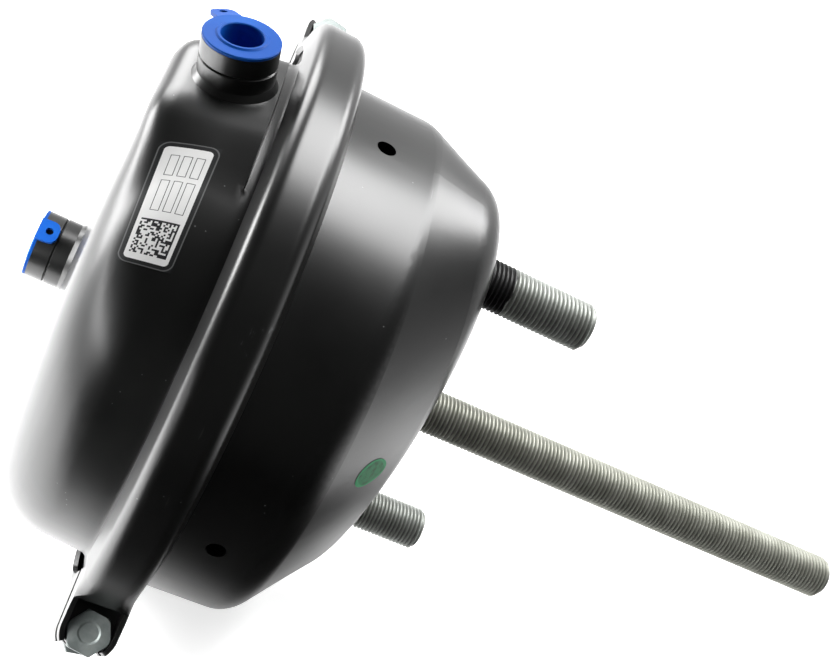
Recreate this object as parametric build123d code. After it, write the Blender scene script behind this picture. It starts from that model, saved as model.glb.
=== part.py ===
from build123d import *
import math
import os

# Air brake chamber, in millimetres. The origin is the centre of the mounting face, +X runs out
# along the push rod, and +Z points to the upper stud and the side port. Azimuths are in
# degrees about X, from +Z towards -Y.

# ---- class: the band's outer radius, which the pressings follow ----
CLAMP_R = 102.0
JOINT_DEPTH = 66.3          # mounting face to the plane midway between the rims

# ---- pressed sheet, rims and joint ----
SHEET = 3.0                 # wall of both pressed housings and of the clamp band
BEND_R = 6.0                # bend between a housing's wall and its rim
WALL_START = 12.0           # joint plane to where the bowl's drawn wall is plainly round
RIM_COVER = 5.0             # the band's outer face to the rims' tips
RIM_HALF_GAP = 2.0          # joint plane to a rim's inner face, at the tip
RIM_LEAN = 15.0             # degrees that each rim leans towards the joint plane
SEAT_GAP = 0.15             # between two pieces of one body that bear on each other

# ---- spring housing ----
BOWL_INSET = 13.5           # the band's outer face to the bowl's round wall
SHOULDER_DEPTH = 28.2       # mounting face to where the round wall starts to close in
NOSE_END_INSET = 5.0        # round wall to the nose's end along Z, before its edge is rounded
NOSE_SIDE_INSET = 39.4      # the same along Y
NOSE_ROUND = 13.0           # rounding of the mounting face's edge
SHOULDER_ROUND = 12.0       # rounding between the round wall and the nose
FACE_HOLE_R = 18.0          # opening round the push rod
VENT_R = 3.0                # breather holes
VENT_SETBACK = 21.6         # joint plane to the breather holes
VENT_COUNT = 4

# ---- studs and the plate inside that carries them ----
STUD_INSET = 23.15          # the nose's end to a stud's axis: 120.7 between the two studs
THREAD_R = 8.0              # M16, for the studs and for the rod
STUD_REACH = 41.0           # mounting face to a stud's tip
TIP_CHAMFER = 1.5
STUD_NECK_R = 8.5           # the plain neck, pressed into the plate and the floor
STUD_HEAD_R = 11.0
STUD_HEAD_THICK = 5.0
PRESS_GAP = 0.05            # round a stud's neck and inside a nut
STUD_PLATE_THICK = 3.0
STUD_PLATE_END_INSET = 11.5
STUD_PLATE_SIDE_INSET = 11.1

# ---- pressure housing ----
CUP_INSET = 16.0            # the band's outer face to the cup's wall, beside the rim
CUP_DEPTH = 44.1            # joint plane to the back's outer face, at its edge
CUP_TAPER = 3.5             # how much smaller the wall is at the back
BACK_CORNER_R = 21.0        # inside corner between wall and back
DOME_RISE = 2.9             # how far the middle of the back stands out
DOME_INSET = 36.0           # the cup's wall to the dome's foot
DOME_SLOPE_LENGTH = 26.0    # the dome's foot to its flat middle
DOME_ROUNDS = (30.0, 14.0)

# ---- side port's flat pad ----
PORT_TILT = 12.4            # degrees that the side port leans back
PORT_SETBACK = 25.1         # joint plane to the middle of the side port's seat
PORT_SEAT_RISE = 1.1        # the cup's wall to the middle of the side port's seat
PAD_FRONT = 13.6            # from the port's middle to the pad's ends, along the pad
PAD_BACK = 21.0
PAD_HALF_TOP = 16.0         # half width of the flat, before it rounds into its sides
PAD_HALF_FOOT = 29.0        # half width of the pad
PAD_SLOPE = 27.0            # degrees that the sides fall away from the flat
PAD_SIDE_ROUND = 20.0
PAD_FOOT_ROUND = 9.0
PAD_END_ROUND = 8.0
PAD_DROP = 42.0             # how far the pad's filled shape reaches into the cup

# ---- ports and plugs ----
BOSS_R = 11.0
BOSS_HEIGHT = 12.5
BOSS_GROOVE = 0.4           # turned line round the boss
BOSS_GROOVE_HEIGHT = 6.8
WELD_HEIGHT = 2.0
WELD_REACH = 1.2
PORT_BORE_R = 7.25          # core of the M16 port thread
PORT_HOLE_R = 6.5           # air hole through the sheet
PLUG_FLANGE_THICK = 1.5
PLUG_GAP = 0.1              # between sleeve and bore
PLUG_WALL = 0.9
PLUG_DEPTH = 9.0
PLUG_FLOOR = 1.2
TAB_WIDTH = 8.0
TAB_LENGTH = 4.8
TAB_END_ROUND = 2.4
TAB_THICK = 1.2
TAB_HOLE_R = 1.2
TAB_HOLE_PLACE = 2.6        # from the tab's root to the middle of its hole
TAB_GAP = 0.3               # between a hanging tab and the boss
SIDE_TAB_ANGLE = 140.0      # degrees round the side port to its tab
SIDE_TAB_BEND = 22.0        # degrees that the tab is lifted from the flange
REAR_TAB_ANGLE = -26.0
REAR_TAB_BEND = -90.0       # this tab hangs down along the boss

# ---- clamp ----
MOUTH_DEPTH = 10.0          # how far in the band's sides reach
CLAMP_GAP = 0.2             # between the band's groove and the rims
CLAMP_ROUND = 4.6           # outside rounding of the band's shoulders
SPLIT_AZIMUTH = 119.0       # where the two halves meet, and again half a turn on
SPLIT_GAP = 6.0
LUG_HALF_WIDTH = 10.2
LUG_CHEEK = 2.2             # the cheeks are drawn thinner than the band
LUG_PLATE = 4.0
LUG_HEIGHT = 12.0           # how far the lugs stand out of the band
LUG_ROOT = 33.0             # where the lug's cheeks leave the band, along the tangent
LUG_HEEL = 20.0
LUG_TOP_ROUND = 6.0
LUG_HEEL_ROUND = 20.0
LUG_END_ROUND = 9.0         # the lug's end is a round-cornered U about the bolt's head
POCKET_END = 17.8           # where the crown stops, to leave room for the bolt's head
BOLT_STAND = 6.5            # the band's outer face to a clamp bolt's axis

# ---- M8 clamp bolts ----
BOLT_R = 4.0
BOLT_HOLE_R = 4.5
BOLT_FLATS = 13.0
BOLT_HEAD_HEIGHT = 5.3
NUT_HEIGHT = 6.5
BOLT_PAST_NUT = 3.5
HEX_CHAMFER = 0.7

# ---- diaphragm, push plate and rod ----
RUBBER = 3.0
BEAD_DEPTH = 9.5            # the rims' tip radius to the bead's inner radius
BEAD_TIP_GAP = 0.8          # bead to the rims' tip radius
CUP_CLEARANCE = 0.7         # diaphragm to the cup's wall
FLOOR_CLEARANCE = 1.4       # diaphragm to the cup's back
DIAPHRAGM_BEND_R = 5.0
PLATE_THICK = 3.0
PLATE_INSET = 26.0          # the cup's wall to the push plate's flat
PLATE_LIP = 7.0
PLATE_LIP_FLARE = 3.0
PLATE_BEND_R = 6.0
ROD_REACH = 185.6           # mounting face to the rod's tip
THREAD_START = 4.0          # mounting face to the first thread
SHANK_R = 7.5               # the blank that the thread is rolled on
ROD_FOOT_R = 13.0
ROD_FOOT_EDGE = 2.0
ROD_FOOT_THICK = 5.0

# ---- dust shield and return spring ----
SHIELD_THICK = 2.0
SHIELD_INSET = 1.6          # the nose's half width to the shield's flange
SHIELD_NECK_GAP = 0.3
SHIELD_TOP_DEPTH = 0.5      # how far the shield stays behind the mounting face
ROD_GAP = 0.3
SPRING_WIRE_R = 2.5
SPRING_EDGE = 4.0           # the coil's big end to the shield's rim
SPRING_SMALL_R = 28.0
SPRING_TURNS = 5.0

RIM_R = CLAMP_R - RIM_COVER
CLAMP_MOUTH_R = CLAMP_R - MOUTH_DEPTH
CLAMP_BOLT_AXIS_R = CLAMP_R + BOLT_STAND
LUG_TOP_R = CLAMP_R + LUG_HEIGHT
BOWL_R = CLAMP_R - BOWL_INSET
FACE_HALF_LONG = BOWL_R - NOSE_END_INSET
FACE_HALF_WIDE = BOWL_R - NOSE_SIDE_INSET
VENT_DEPTH = JOINT_DEPTH - VENT_SETBACK
STUD_SPACING = 2 * (FACE_HALF_LONG - STUD_INSET)
STUD_PLATE_HALF_LONG = FACE_HALF_LONG - STUD_PLATE_END_INSET
STUD_PLATE_HALF_WIDE = FACE_HALF_WIDE - STUD_PLATE_SIDE_INSET
CUP_R = CLAMP_R - CUP_INSET
BACK_DEPTH = JOINT_DEPTH + CUP_DEPTH
DOME_FOOT_R = CUP_R - DOME_INSET
DOME_TOP_R = DOME_FOOT_R - DOME_SLOPE_LENGTH
BEAD_INNER_R = RIM_R - BEAD_DEPTH
PLATE_R = CUP_R - PLATE_INSET
SHIELD_FLANGE_R = FACE_HALF_WIDE - SHIELD_INSET
SPRING_BIG_R = SHIELD_FLANGE_R - SPRING_EDGE
JOINT_X = -JOINT_DEPTH
LEAN = math.tan(math.radians(RIM_LEAN))
CUP_FLOOR_X = -BACK_DEPTH + SHEET
CUP_INNER_R = CUP_R - SHEET
DIAPHRAGM_X = CUP_FLOOR_X + FLOOR_CLEARANCE + RUBBER
PLATE_FRONT_X = DIAPHRAGM_X + SEAT_GAP + PLATE_THICK
STUD_PLATE_X = -SHEET - STUD_PLATE_THICK
SHIELD_X = STUD_PLATE_X - SHIELD_THICK
BACK_SEAT_X = -BACK_DEPTH - DOME_RISE
LUG_BACK = SPLIT_GAP / 2 + LUG_PLATE


def rim_x(radius, side):
    """X of a rim's inner face at a radius; side is 1 on the spring side and -1 on the air side."""
    return JOINT_X + side * (RIM_HALF_GAP + (RIM_R - radius) * LEAN)


def turned(profile):
    """Revolve a face drawn with X along the axis and Y as the radius."""
    return revolve(profile, Axis.X)


def sheet_face(points, radii, thickness, side):
    """A strip of constant thickness beside a path with rounded corners."""
    path = FilletPolyline(*points, radius=radii)
    return make_face(offset(path, amount=thickness, side=side))


def under_path(points, radii):
    """The face between the axis and a path with rounded corners that ends on the axis."""
    path = FilletPolyline(*points, radius=radii)
    start = points[0]
    return make_face(path + Polyline(points[-1], (start[0], 0), start))


def azimuth_plane(azimuth):
    """A plane across the joint: its X runs along the tangent and its Y out along the radius."""
    turn = math.radians(azimuth)
    tangent = (0, -math.cos(turn), -math.sin(turn))
    return Plane(origin=(JOINT_X, 0, 0), x_dir=tangent, z_dir=(-1, 0, 0))


def hexagon(flats, height):
    """A hexagonal prism on Z with its top corners taken off."""
    body = extrude(RegularPolygon(flats / 2, 6, major_radius=False), height)
    corner_r = flats / 2 / math.cos(math.radians(30))
    cone = Cylinder(corner_r, height, align=(Align.CENTER, Align.CENTER, Align.MIN))
    return body & chamfer(cone.edges().sort_by(Axis.Z)[-1], HEX_CHAMFER)


# ---- spring housing ----

def nose_slope(half_size):
    """Angle from the axis of the nose's side, where its half size at the mounting face is given."""
    return math.atan((BOWL_R - half_size) / SHOULDER_DEPTH)


def nose_half(half_size, inset):
    """Half size of the nose's end at its own depth when every side is moved in by inset."""
    slope = nose_slope(half_size)
    return half_size + inset * math.tan(slope) - inset / math.cos(slope)


def bowl_solid(inset):
    """The bowl's filled shape from the joint side to the mounting face, every side moved in."""
    shoulder_x = -SHOULDER_DEPTH - inset * math.tan(nose_slope(FACE_HALF_WIDE) / 2)
    start_x = JOINT_X + WALL_START
    round_r = BOWL_R - inset
    wall = extrude(Plane.YZ.offset(start_x) * Circle(round_r), shoulder_x - start_x)
    foot = Plane.YZ.offset(shoulder_x) * Circle(round_r)
    half_wide = nose_half(FACE_HALF_WIDE, inset)
    half_long = nose_half(FACE_HALF_LONG, inset)
    end = Plane.YZ.offset(-inset) * Ellipse(half_wide, half_long)
    body = wall + loft([foot, end], ruled=True)
    shoulder = body.edges().filter_by_position(Axis.X, shoulder_x - 0.01, shoulder_x + 0.01)
    body = fillet(shoulder, SHOULDER_ROUND - inset)
    return fillet(body.faces().sort_by(Axis.X)[-1].edges(), NOSE_ROUND - inset)


def spring_housing():
    """The non-pressure bowl: rim, round wall and a nose that closes in to the mounting face."""
    inner_r = BOWL_R - SHEET
    wall_end = JOINT_X + WALL_START
    path = [(rim_x(RIM_R, 1), RIM_R), (rim_x(inner_r, 1), inner_r), (wall_end, inner_r)]
    body = turned(sheet_face(path, [BEND_R], SHEET, Side.LEFT))
    body += bowl_solid(0) - bowl_solid(SHEET)
    body -= Location((-SHEET / 2, 0, 0), (0, 90, 0)) * Cylinder(FACE_HOLE_R, SHEET * 2)
    for end in (-1, 1):
        at = Location((-SHEET / 2, 0, end * STUD_SPACING / 2), (0, 90, 0))
        body -= at * Cylinder(STUD_NECK_R + PRESS_GAP, SHEET * 2)
    for index in range(VENT_COUNT):
        turn = Rotation(360 / VENT_COUNT * index, 0, 0)
        body -= turn * Pos(-VENT_DEPTH, 0, BOWL_R) * Cylinder(VENT_R, SHEET * 4)
    return body


def stud_plate():
    """The plate inside the nose that the studs are pressed into."""
    outline = Ellipse(STUD_PLATE_HALF_WIDE, STUD_PLATE_HALF_LONG) - Circle(FACE_HOLE_R)
    for end in (-1, 1):
        outline -= Pos(0, end * STUD_SPACING / 2) * Circle(STUD_NECK_R + PRESS_GAP)
    return extrude(Plane.YZ.offset(STUD_PLATE_X) * outline, STUD_PLATE_THICK)


def mounting_stud(end):
    """One headed stud through the plate and the nose."""
    head_x = STUD_PLATE_X - STUD_HEAD_THICK
    outline = Polyline(
        (head_x, 0),
        (head_x, STUD_HEAD_R),
        (STUD_PLATE_X, STUD_HEAD_R),
        (STUD_PLATE_X, STUD_NECK_R),
        (0, STUD_NECK_R),
        (0, THREAD_R),
        (STUD_REACH - TIP_CHAMFER, THREAD_R),
        (STUD_REACH, THREAD_R - TIP_CHAMFER),
        (STUD_REACH, 0),
        close=True,
    )
    return Pos(0, 0, end * STUD_SPACING / 2) * turned(make_face(outline))


# ---- pressure housing and ports ----

def cup_path():
    """Inner face of the pressure housing from its rim to the axis, and its corner radii."""
    back_r = CUP_INNER_R - CUP_TAPER
    dome_x = CUP_FLOOR_X - DOME_RISE
    points = [
        (rim_x(RIM_R, -1), RIM_R),
        (rim_x(CUP_INNER_R, -1), CUP_INNER_R),
        (CUP_FLOOR_X, back_r),
        (CUP_FLOOR_X, DOME_FOOT_R),
        (dome_x, DOME_TOP_R),
        (dome_x, 0),
    ]
    return points, [BEND_R, BACK_CORNER_R, *DOME_ROUNDS]


def side_port_plane():
    """Where the side port stands: Z runs out of the port and X back along the pad."""
    tilt = math.radians(PORT_TILT)
    normal = (-math.sin(tilt), 0, math.cos(tilt))
    along = (math.cos(tilt), 0, math.sin(tilt))
    seat = (JOINT_X - PORT_SETBACK, 0, CUP_R + PORT_SEAT_RISE)
    return Plane(origin=seat, x_dir=along, z_dir=normal)


def rear_port_plane():
    """Where the rear port stands: Z runs out of the port, along -X."""
    return Plane(origin=(BACK_SEAT_X, 0, 0), x_dir=(0, 0, 1), z_dir=(-1, 0, 0))


def pad_solid(inset):
    """The pad's filled shape with every side moved in by inset: a flat between sloping sides."""
    slope = math.radians(PAD_SLOPE)
    top = PAD_HALF_TOP - inset * math.tan(slope / 2)
    foot = PAD_HALF_FOOT - inset
    foot_z = -inset - (foot - top) * math.tan(slope)
    points = [(-foot, -PAD_DROP), (-foot, foot_z), (-top, -inset)]
    points += [(-across, height) for across, height in reversed(points)]
    rounds = [PAD_FOOT_ROUND - inset, PAD_SIDE_ROUND - inset]
    radii = [0, *rounds, *reversed(rounds), 0]
    outline = make_face(FilletPolyline(*points, radius=radii, close=True))
    block = extrude(Plane.YZ.offset(inset - PAD_BACK) * outline, PAD_FRONT + PAD_BACK - 2 * inset)
    block = fillet(block.faces().sort_by(Axis.X)[0].edges(), PAD_END_ROUND - inset)
    return side_port_plane().location * block


def pressure_housing():
    """The air-side cup with its rim, its domed back and the flat pad of the side port."""
    points, radii = cup_path()
    hollow = turned(under_path(points, radii))
    body = turned(sheet_face(points, radii, SHEET, Side.RIGHT)) + pad_solid(0)
    body -= hollow
    body -= pad_solid(SHEET)
    drill = Cylinder(PORT_HOLE_R, SHEET * 3)
    body -= side_port_plane().location * drill
    return body - rear_port_plane().location * drill


def port_boss():
    """A threaded air port standing on Z = 0, with its weld and a turned line."""
    outline = Polyline(
        (PORT_BORE_R, 0),
        (BOSS_R + WELD_REACH, 0),
        (BOSS_R, WELD_HEIGHT),
        (BOSS_R, BOSS_GROOVE_HEIGHT - BOSS_GROOVE),
        (BOSS_R - BOSS_GROOVE, BOSS_GROOVE_HEIGHT),
        (BOSS_R, BOSS_GROOVE_HEIGHT + BOSS_GROOVE),
        (BOSS_R, BOSS_HEIGHT),
        (PORT_BORE_R, BOSS_HEIGHT),
        close=True,
    )
    return revolve(Plane.XZ * make_face(outline), Axis.Z)


def port_plug(turn, bend):
    """A push-in plug with a flange, a blind sleeve and a pull tab."""
    sleeve_r = PORT_BORE_R - PLUG_GAP
    hollow_r = sleeve_r - PLUG_WALL
    top = BOSS_HEIGHT + PLUG_FLANGE_THICK
    foot = BOSS_HEIGHT - PLUG_DEPTH
    outline = Polyline(
        (0, foot),
        (sleeve_r, foot),
        (sleeve_r, BOSS_HEIGHT),
        (BOSS_R, BOSS_HEIGHT),
        (BOSS_R, top),
        (hollow_r, top),
        (hollow_r, foot + PLUG_FLOOR),
        (0, foot + PLUG_FLOOR),
        close=True,
    )
    plug = revolve(Plane.XZ * make_face(outline), Axis.Z)
    strip = Rectangle(TAB_LENGTH, TAB_WIDTH, align=(Align.MIN, Align.CENTER))
    strip = fillet(strip.vertices().group_by(Axis.X)[-1], TAB_END_ROUND)
    strip -= Pos(TAB_HOLE_PLACE, 0) * Circle(TAB_HOLE_R)
    tab = Rotation(0, -bend, 0) * extrude(strip, TAB_THICK)
    outward = (Align.MIN, Align.CENTER, Align.MIN)
    bridge = Box(2 * TAB_THICK + TAB_GAP, TAB_WIDTH, PLUG_FLANGE_THICK, align=outward)
    plug += Rotation(0, 0, turn) * Pos(BOSS_R - TAB_THICK, 0, BOSS_HEIGHT) * bridge
    return plug + Rotation(0, 0, turn) * Pos(BOSS_R + TAB_GAP, 0, top - TAB_THICK) * tab


# ---- clamp ----

def groove_half(radius):
    """Half width of the clamp's groove at a radius: the rims' outer faces and a gap."""
    rim_half = RIM_HALF_GAP + (RIM_R - radius) * LEAN
    return rim_half + SHEET / math.cos(math.radians(RIM_LEAN)) + CLAMP_GAP


def clamp_ring():
    """The clamp's channel as a whole ring."""
    crown_r = CLAMP_R - SHEET
    points = [
        (JOINT_X - groove_half(CLAMP_MOUTH_R), CLAMP_MOUTH_R),
        (JOINT_X - groove_half(crown_r), crown_r),
        (JOINT_X + groove_half(crown_r), crown_r),
        (JOINT_X + groove_half(CLAMP_MOUTH_R), CLAMP_MOUTH_R),
    ]
    return turned(sheet_face(points, CLAMP_ROUND - SHEET, SHEET, Side.LEFT))


def groove_ring():
    """The space inside the clamp's groove, from well inside its mouth to the crown."""
    crown_r = CLAMP_R - SHEET
    foot_r = CLAMP_MOUTH_R - LUG_ROOT
    outline = Polyline(
        (JOINT_X - groove_half(foot_r), foot_r),
        (JOINT_X - groove_half(crown_r), crown_r),
        (JOINT_X + groove_half(crown_r), crown_r),
        (JOINT_X + groove_half(foot_r), foot_r),
        close=True,
    )
    return turned(make_face(outline))


def lug_solid():
    """A lug's filled shape before the split, drawn along the tangent and the radius."""
    near = -SPLIT_GAP / 2
    root_height = math.sqrt(CLAMP_R**2 - LUG_ROOT**2)
    points = [
        (-LUG_ROOT, root_height),
        (-LUG_HEEL, CLAMP_R),
        (-LUG_BACK - LUG_TOP_ROUND, LUG_TOP_R),
        (near, LUG_TOP_R),
        (near, CLAMP_MOUTH_R),
        (-LUG_ROOT, root_height - (CLAMP_R - CLAMP_MOUTH_R)),
    ]
    outline = FilletPolyline(*points, radius=[0, LUG_HEEL_ROUND, LUG_TOP_ROUND, 0, 0, 0], close=True)
    end = Rectangle(2 * LUG_TOP_R, 2 * LUG_HALF_WIDTH)
    end = fillet(end.vertices(), LUG_END_ROUND)
    block = extrude(make_face(outline), LUG_HALF_WIDTH, both=True)
    return block & extrude(Plane.YZ * end, LUG_ROOT, both=True)


def lug_pocket():
    """The space between a lug's cheeks, where a bolt's head or nut sits."""
    corner = (Align.MAX, Align.MIN)
    crown_foot = CLAMP_R - CLAMP_ROUND
    opening = Rectangle(POCKET_END - LUG_BACK, LUG_TOP_R, align=corner)
    above = Rectangle(LUG_ROOT, LUG_TOP_R + SHEET, align=corner) - Circle(CLAMP_R)
    outline = Pos(-LUG_BACK, crown_foot) * opening + Pos(-LUG_BACK, 0) * above
    return extrude(outline, LUG_HALF_WIDTH - LUG_CHEEK, both=True)


def clamp_half(turn):
    """Half of the band, with a lug at each end; turn puts it in place about the joint."""
    ring = azimuth_plane(SPLIT_AZIMUTH).location.inverse() * clamp_ring()
    groove = azimuth_plane(SPLIT_AZIMUTH).location.inverse() * groove_ring()
    reach = 2 * LUG_TOP_R
    side = Box(reach, reach, reach, align=(Align.MAX, Align.CENTER, Align.CENTER))
    body = ring & (Pos(-SPLIT_GAP / 2, 0) * side)
    mouth = Cylinder(CLAMP_MOUTH_R, reach)
    bolt_hole = Rotation(0, 90, 0) * Cylinder(BOLT_HOLE_R, 4 * LUG_BACK)
    for end in (0, 180):
        flip = Rotation(end, 0, 0)
        body += flip * (lug_solid() - groove - mouth)
        body -= flip * (lug_pocket() + Pos(0, CLAMP_BOLT_AXIS_R) * bolt_hole)
    return azimuth_plane(SPLIT_AZIMUTH + turn).location * body


def on_clamp_bolt(azimuth, offset):
    """The place on a clamp bolt's axis offset from the split, with Z towards the bolt's head."""
    at = Plane(origin=(offset, CLAMP_BOLT_AXIS_R, 0), z_dir=(-1, 0, 0))
    return azimuth_plane(azimuth).location * at.location


def clamp_bolt(azimuth):
    """The bolt through one pair of lugs."""
    length = 2 * LUG_BACK + NUT_HEIGHT + BOLT_PAST_NUT
    shank = Cylinder(BOLT_R, length, align=(Align.CENTER, Align.CENTER, Align.MAX))
    return on_clamp_bolt(azimuth, -LUG_BACK) * (hexagon(BOLT_FLATS, BOLT_HEAD_HEIGHT) + shank)


def clamp_nut(azimuth):
    """The nut on one clamp bolt."""
    nut = hexagon(BOLT_FLATS, NUT_HEIGHT) - Cylinder(BOLT_R + PRESS_GAP, 4 * NUT_HEIGHT)
    return on_clamp_bolt(azimuth, LUG_BACK) * Rotation(180, 0, 0) * nut


# ---- diaphragm, push plate, rod, shield and spring ----

def diaphragm():
    """The rubber cup, lying along the pressure housing, with its bead between the rims."""
    bead = []
    for radius in (RIM_R - BEAD_TIP_GAP, BEAD_INNER_R):
        bead.append((radius, RIM_HALF_GAP + (RIM_R - radius) * LEAN - SEAT_GAP))
    outline = [(JOINT_X - half, radius) for radius, half in bead]
    outline += [(JOINT_X + half, radius) for radius, half in reversed(bead)]
    wall_r = CUP_INNER_R - CUP_CLEARANCE
    back_x = DIAPHRAGM_X - RUBBER
    start_x = JOINT_X - RUBBER / 2
    path = [(start_x, BEAD_INNER_R + RUBBER), (start_x, wall_r), (back_x, wall_r - CUP_TAPER), (back_x, 0)]
    corner_r = BACK_CORNER_R - CUP_CLEARANCE
    membrane = sheet_face(path, [DIAPHRAGM_BEND_R, corner_r], RUBBER, Side.LEFT)
    return turned(make_face(Polyline(*outline, close=True)) + membrane)


def push_plate():
    """The dished plate that the diaphragm presses on."""
    back_x = DIAPHRAGM_X + SEAT_GAP
    path = [(back_x, 0), (back_x, PLATE_R), (back_x + PLATE_LIP, PLATE_R + PLATE_LIP_FLARE)]
    return turned(sheet_face(path, [PLATE_BEND_R], PLATE_THICK, Side.RIGHT))


def pushrod():
    """The rod: a welded foot, a plain shank and a long rolled thread."""
    outline = Polyline(
        (PLATE_FRONT_X, 0),
        (PLATE_FRONT_X, ROD_FOOT_R),
        (PLATE_FRONT_X + ROD_FOOT_EDGE, ROD_FOOT_R),
        (PLATE_FRONT_X + ROD_FOOT_THICK, SHANK_R),
        (THREAD_START, SHANK_R),
        (THREAD_START + THREAD_R - SHANK_R, THREAD_R),
        (ROD_REACH - TIP_CHAMFER, THREAD_R),
        (ROD_REACH, THREAD_R - TIP_CHAMFER),
        (ROD_REACH, 0),
        close=True,
    )
    return turned(make_face(outline))


def dust_shield():
    """The moulded top hat that closes the mounting face's opening round the rod."""
    neck_r = FACE_HOLE_R - SHIELD_NECK_GAP
    top_x = -SHIELD_TOP_DEPTH
    outline = Polyline(
        (SHIELD_X, neck_r - SHIELD_THICK),
        (SHIELD_X, SHIELD_FLANGE_R),
        (STUD_PLATE_X, SHIELD_FLANGE_R),
        (STUD_PLATE_X, neck_r),
        (top_x, neck_r),
        (top_x, THREAD_R + ROD_GAP),
        (top_x - SHIELD_THICK, THREAD_R + ROD_GAP),
        (top_x - SHIELD_THICK, neck_r - SHIELD_THICK),
        close=True,
    )
    return turned(make_face(outline))


def return_spring():
    """The conical spring, from the push plate to the shield's flange."""
    start_x = PLATE_FRONT_X + SPRING_WIRE_R
    height = SHIELD_X - SPRING_WIRE_R - start_x
    cone = math.degrees(math.atan((SPRING_BIG_R - SPRING_SMALL_R) / height))
    coil = Helix(height / SPRING_TURNS, height, SPRING_SMALL_R, cone_angle=cone)
    wire = sweep(Plane(origin=coil @ 0, z_dir=coil % 0) * Circle(SPRING_WIRE_R), coil, is_frenet=True)
    return Plane(origin=(start_x, 0, 0), z_dir=(1, 0, 0)).location * wire


side_port = side_port_plane().location
rear_port = rear_port_plane().location

nodes = {
    "pressure_housing": pressure_housing(),
    "spring_housing": spring_housing(),
    "side_port_boss": side_port * port_boss(),
    "rear_port_boss": rear_port * port_boss(),
    "side_port_plug": side_port * port_plug(SIDE_TAB_ANGLE, SIDE_TAB_BEND),
    "rear_port_plug": rear_port * port_plug(REAR_TAB_ANGLE, REAR_TAB_BEND),
    "stud_plate": stud_plate(),
    "upper_mounting_stud": mounting_stud(1),
    "lower_mounting_stud": mounting_stud(-1),
    "front_clamp_half": clamp_half(0),
    "rear_clamp_half": clamp_half(180),
    "lower_clamp_bolt": clamp_bolt(SPLIT_AZIMUTH),
    "upper_clamp_bolt": clamp_bolt(SPLIT_AZIMUTH + 180),
    "lower_clamp_nut": clamp_nut(SPLIT_AZIMUTH),
    "upper_clamp_nut": clamp_nut(SPLIT_AZIMUTH + 180),
    "diaphragm": diaphragm(),
    "push_plate": push_plate(),
    "pushrod": pushrod(),
    "dust_shield": dust_shield(),
    "return_spring": return_spring(),
}

os.makedirs("parts", exist_ok=True)
for name, solid in nodes.items():
    export_step(solid, f"parts/{name}.step")
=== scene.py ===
"""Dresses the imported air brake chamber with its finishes, threads, welds and decals."""

import logging
import math
from dataclasses import dataclass
from enum import Enum, IntEnum
from typing import Iterable, Optional, Sequence, Union

import bmesh
import bpy
from mathutils import Matrix, Vector
from mathutils.bvhtree import BVHTree

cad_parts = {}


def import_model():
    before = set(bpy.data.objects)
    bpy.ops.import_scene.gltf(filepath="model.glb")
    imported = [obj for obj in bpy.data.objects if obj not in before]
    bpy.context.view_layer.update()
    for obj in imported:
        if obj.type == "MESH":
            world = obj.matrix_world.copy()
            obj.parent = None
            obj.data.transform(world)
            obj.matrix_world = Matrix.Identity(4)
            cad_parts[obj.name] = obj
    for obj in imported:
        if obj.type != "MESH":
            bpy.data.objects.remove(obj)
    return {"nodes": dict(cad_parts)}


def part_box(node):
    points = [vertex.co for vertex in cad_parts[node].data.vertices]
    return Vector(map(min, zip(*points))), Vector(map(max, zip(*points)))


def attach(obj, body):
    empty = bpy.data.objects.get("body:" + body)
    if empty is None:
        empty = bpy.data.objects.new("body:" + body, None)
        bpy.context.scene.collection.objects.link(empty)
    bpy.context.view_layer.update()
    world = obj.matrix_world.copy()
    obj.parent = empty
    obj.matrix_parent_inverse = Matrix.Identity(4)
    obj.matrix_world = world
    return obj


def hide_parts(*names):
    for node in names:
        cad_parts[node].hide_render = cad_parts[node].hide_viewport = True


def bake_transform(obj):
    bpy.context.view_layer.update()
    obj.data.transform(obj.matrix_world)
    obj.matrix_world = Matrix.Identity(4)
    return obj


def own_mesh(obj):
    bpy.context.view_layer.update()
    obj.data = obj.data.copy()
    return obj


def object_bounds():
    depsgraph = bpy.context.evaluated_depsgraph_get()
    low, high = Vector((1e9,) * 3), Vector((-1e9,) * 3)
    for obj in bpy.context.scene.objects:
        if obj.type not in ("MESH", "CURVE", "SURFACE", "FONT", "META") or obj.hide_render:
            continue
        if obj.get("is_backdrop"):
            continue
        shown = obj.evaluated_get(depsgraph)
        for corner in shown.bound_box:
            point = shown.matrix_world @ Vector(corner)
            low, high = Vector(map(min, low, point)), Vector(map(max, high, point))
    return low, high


MM = 0.001
ONE_POINT = 1e-6
ON_PLANE = 1e-7
LOG = logging.getLogger("brake_chamber")

Triple = tuple[float, float, float]
Number = Union[float, "Value"]
Setting = Union[str, bool, float, list]


@dataclass(frozen=True)
class Layout:
    """Places and sizes that several sub-assemblies share, as the CAD has them."""

    joint_x: float = -66.3 * MM
    bolt_r: float = 108.5 * MM
    lower_joint: float = 119.0
    upper_joint: float = 299.0
    port_tilt: float = math.radians(12.4)
    side_port: Triple = (-91.4 * MM, 0.0, 87.1 * MM)
    rear_port: Triple = (-113.3 * MM, 0.0, 0.0)
    stroke: float = 64.0 * MM


LAYOUT = Layout()


# ---------------------------------------------------------------- shader building


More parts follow.
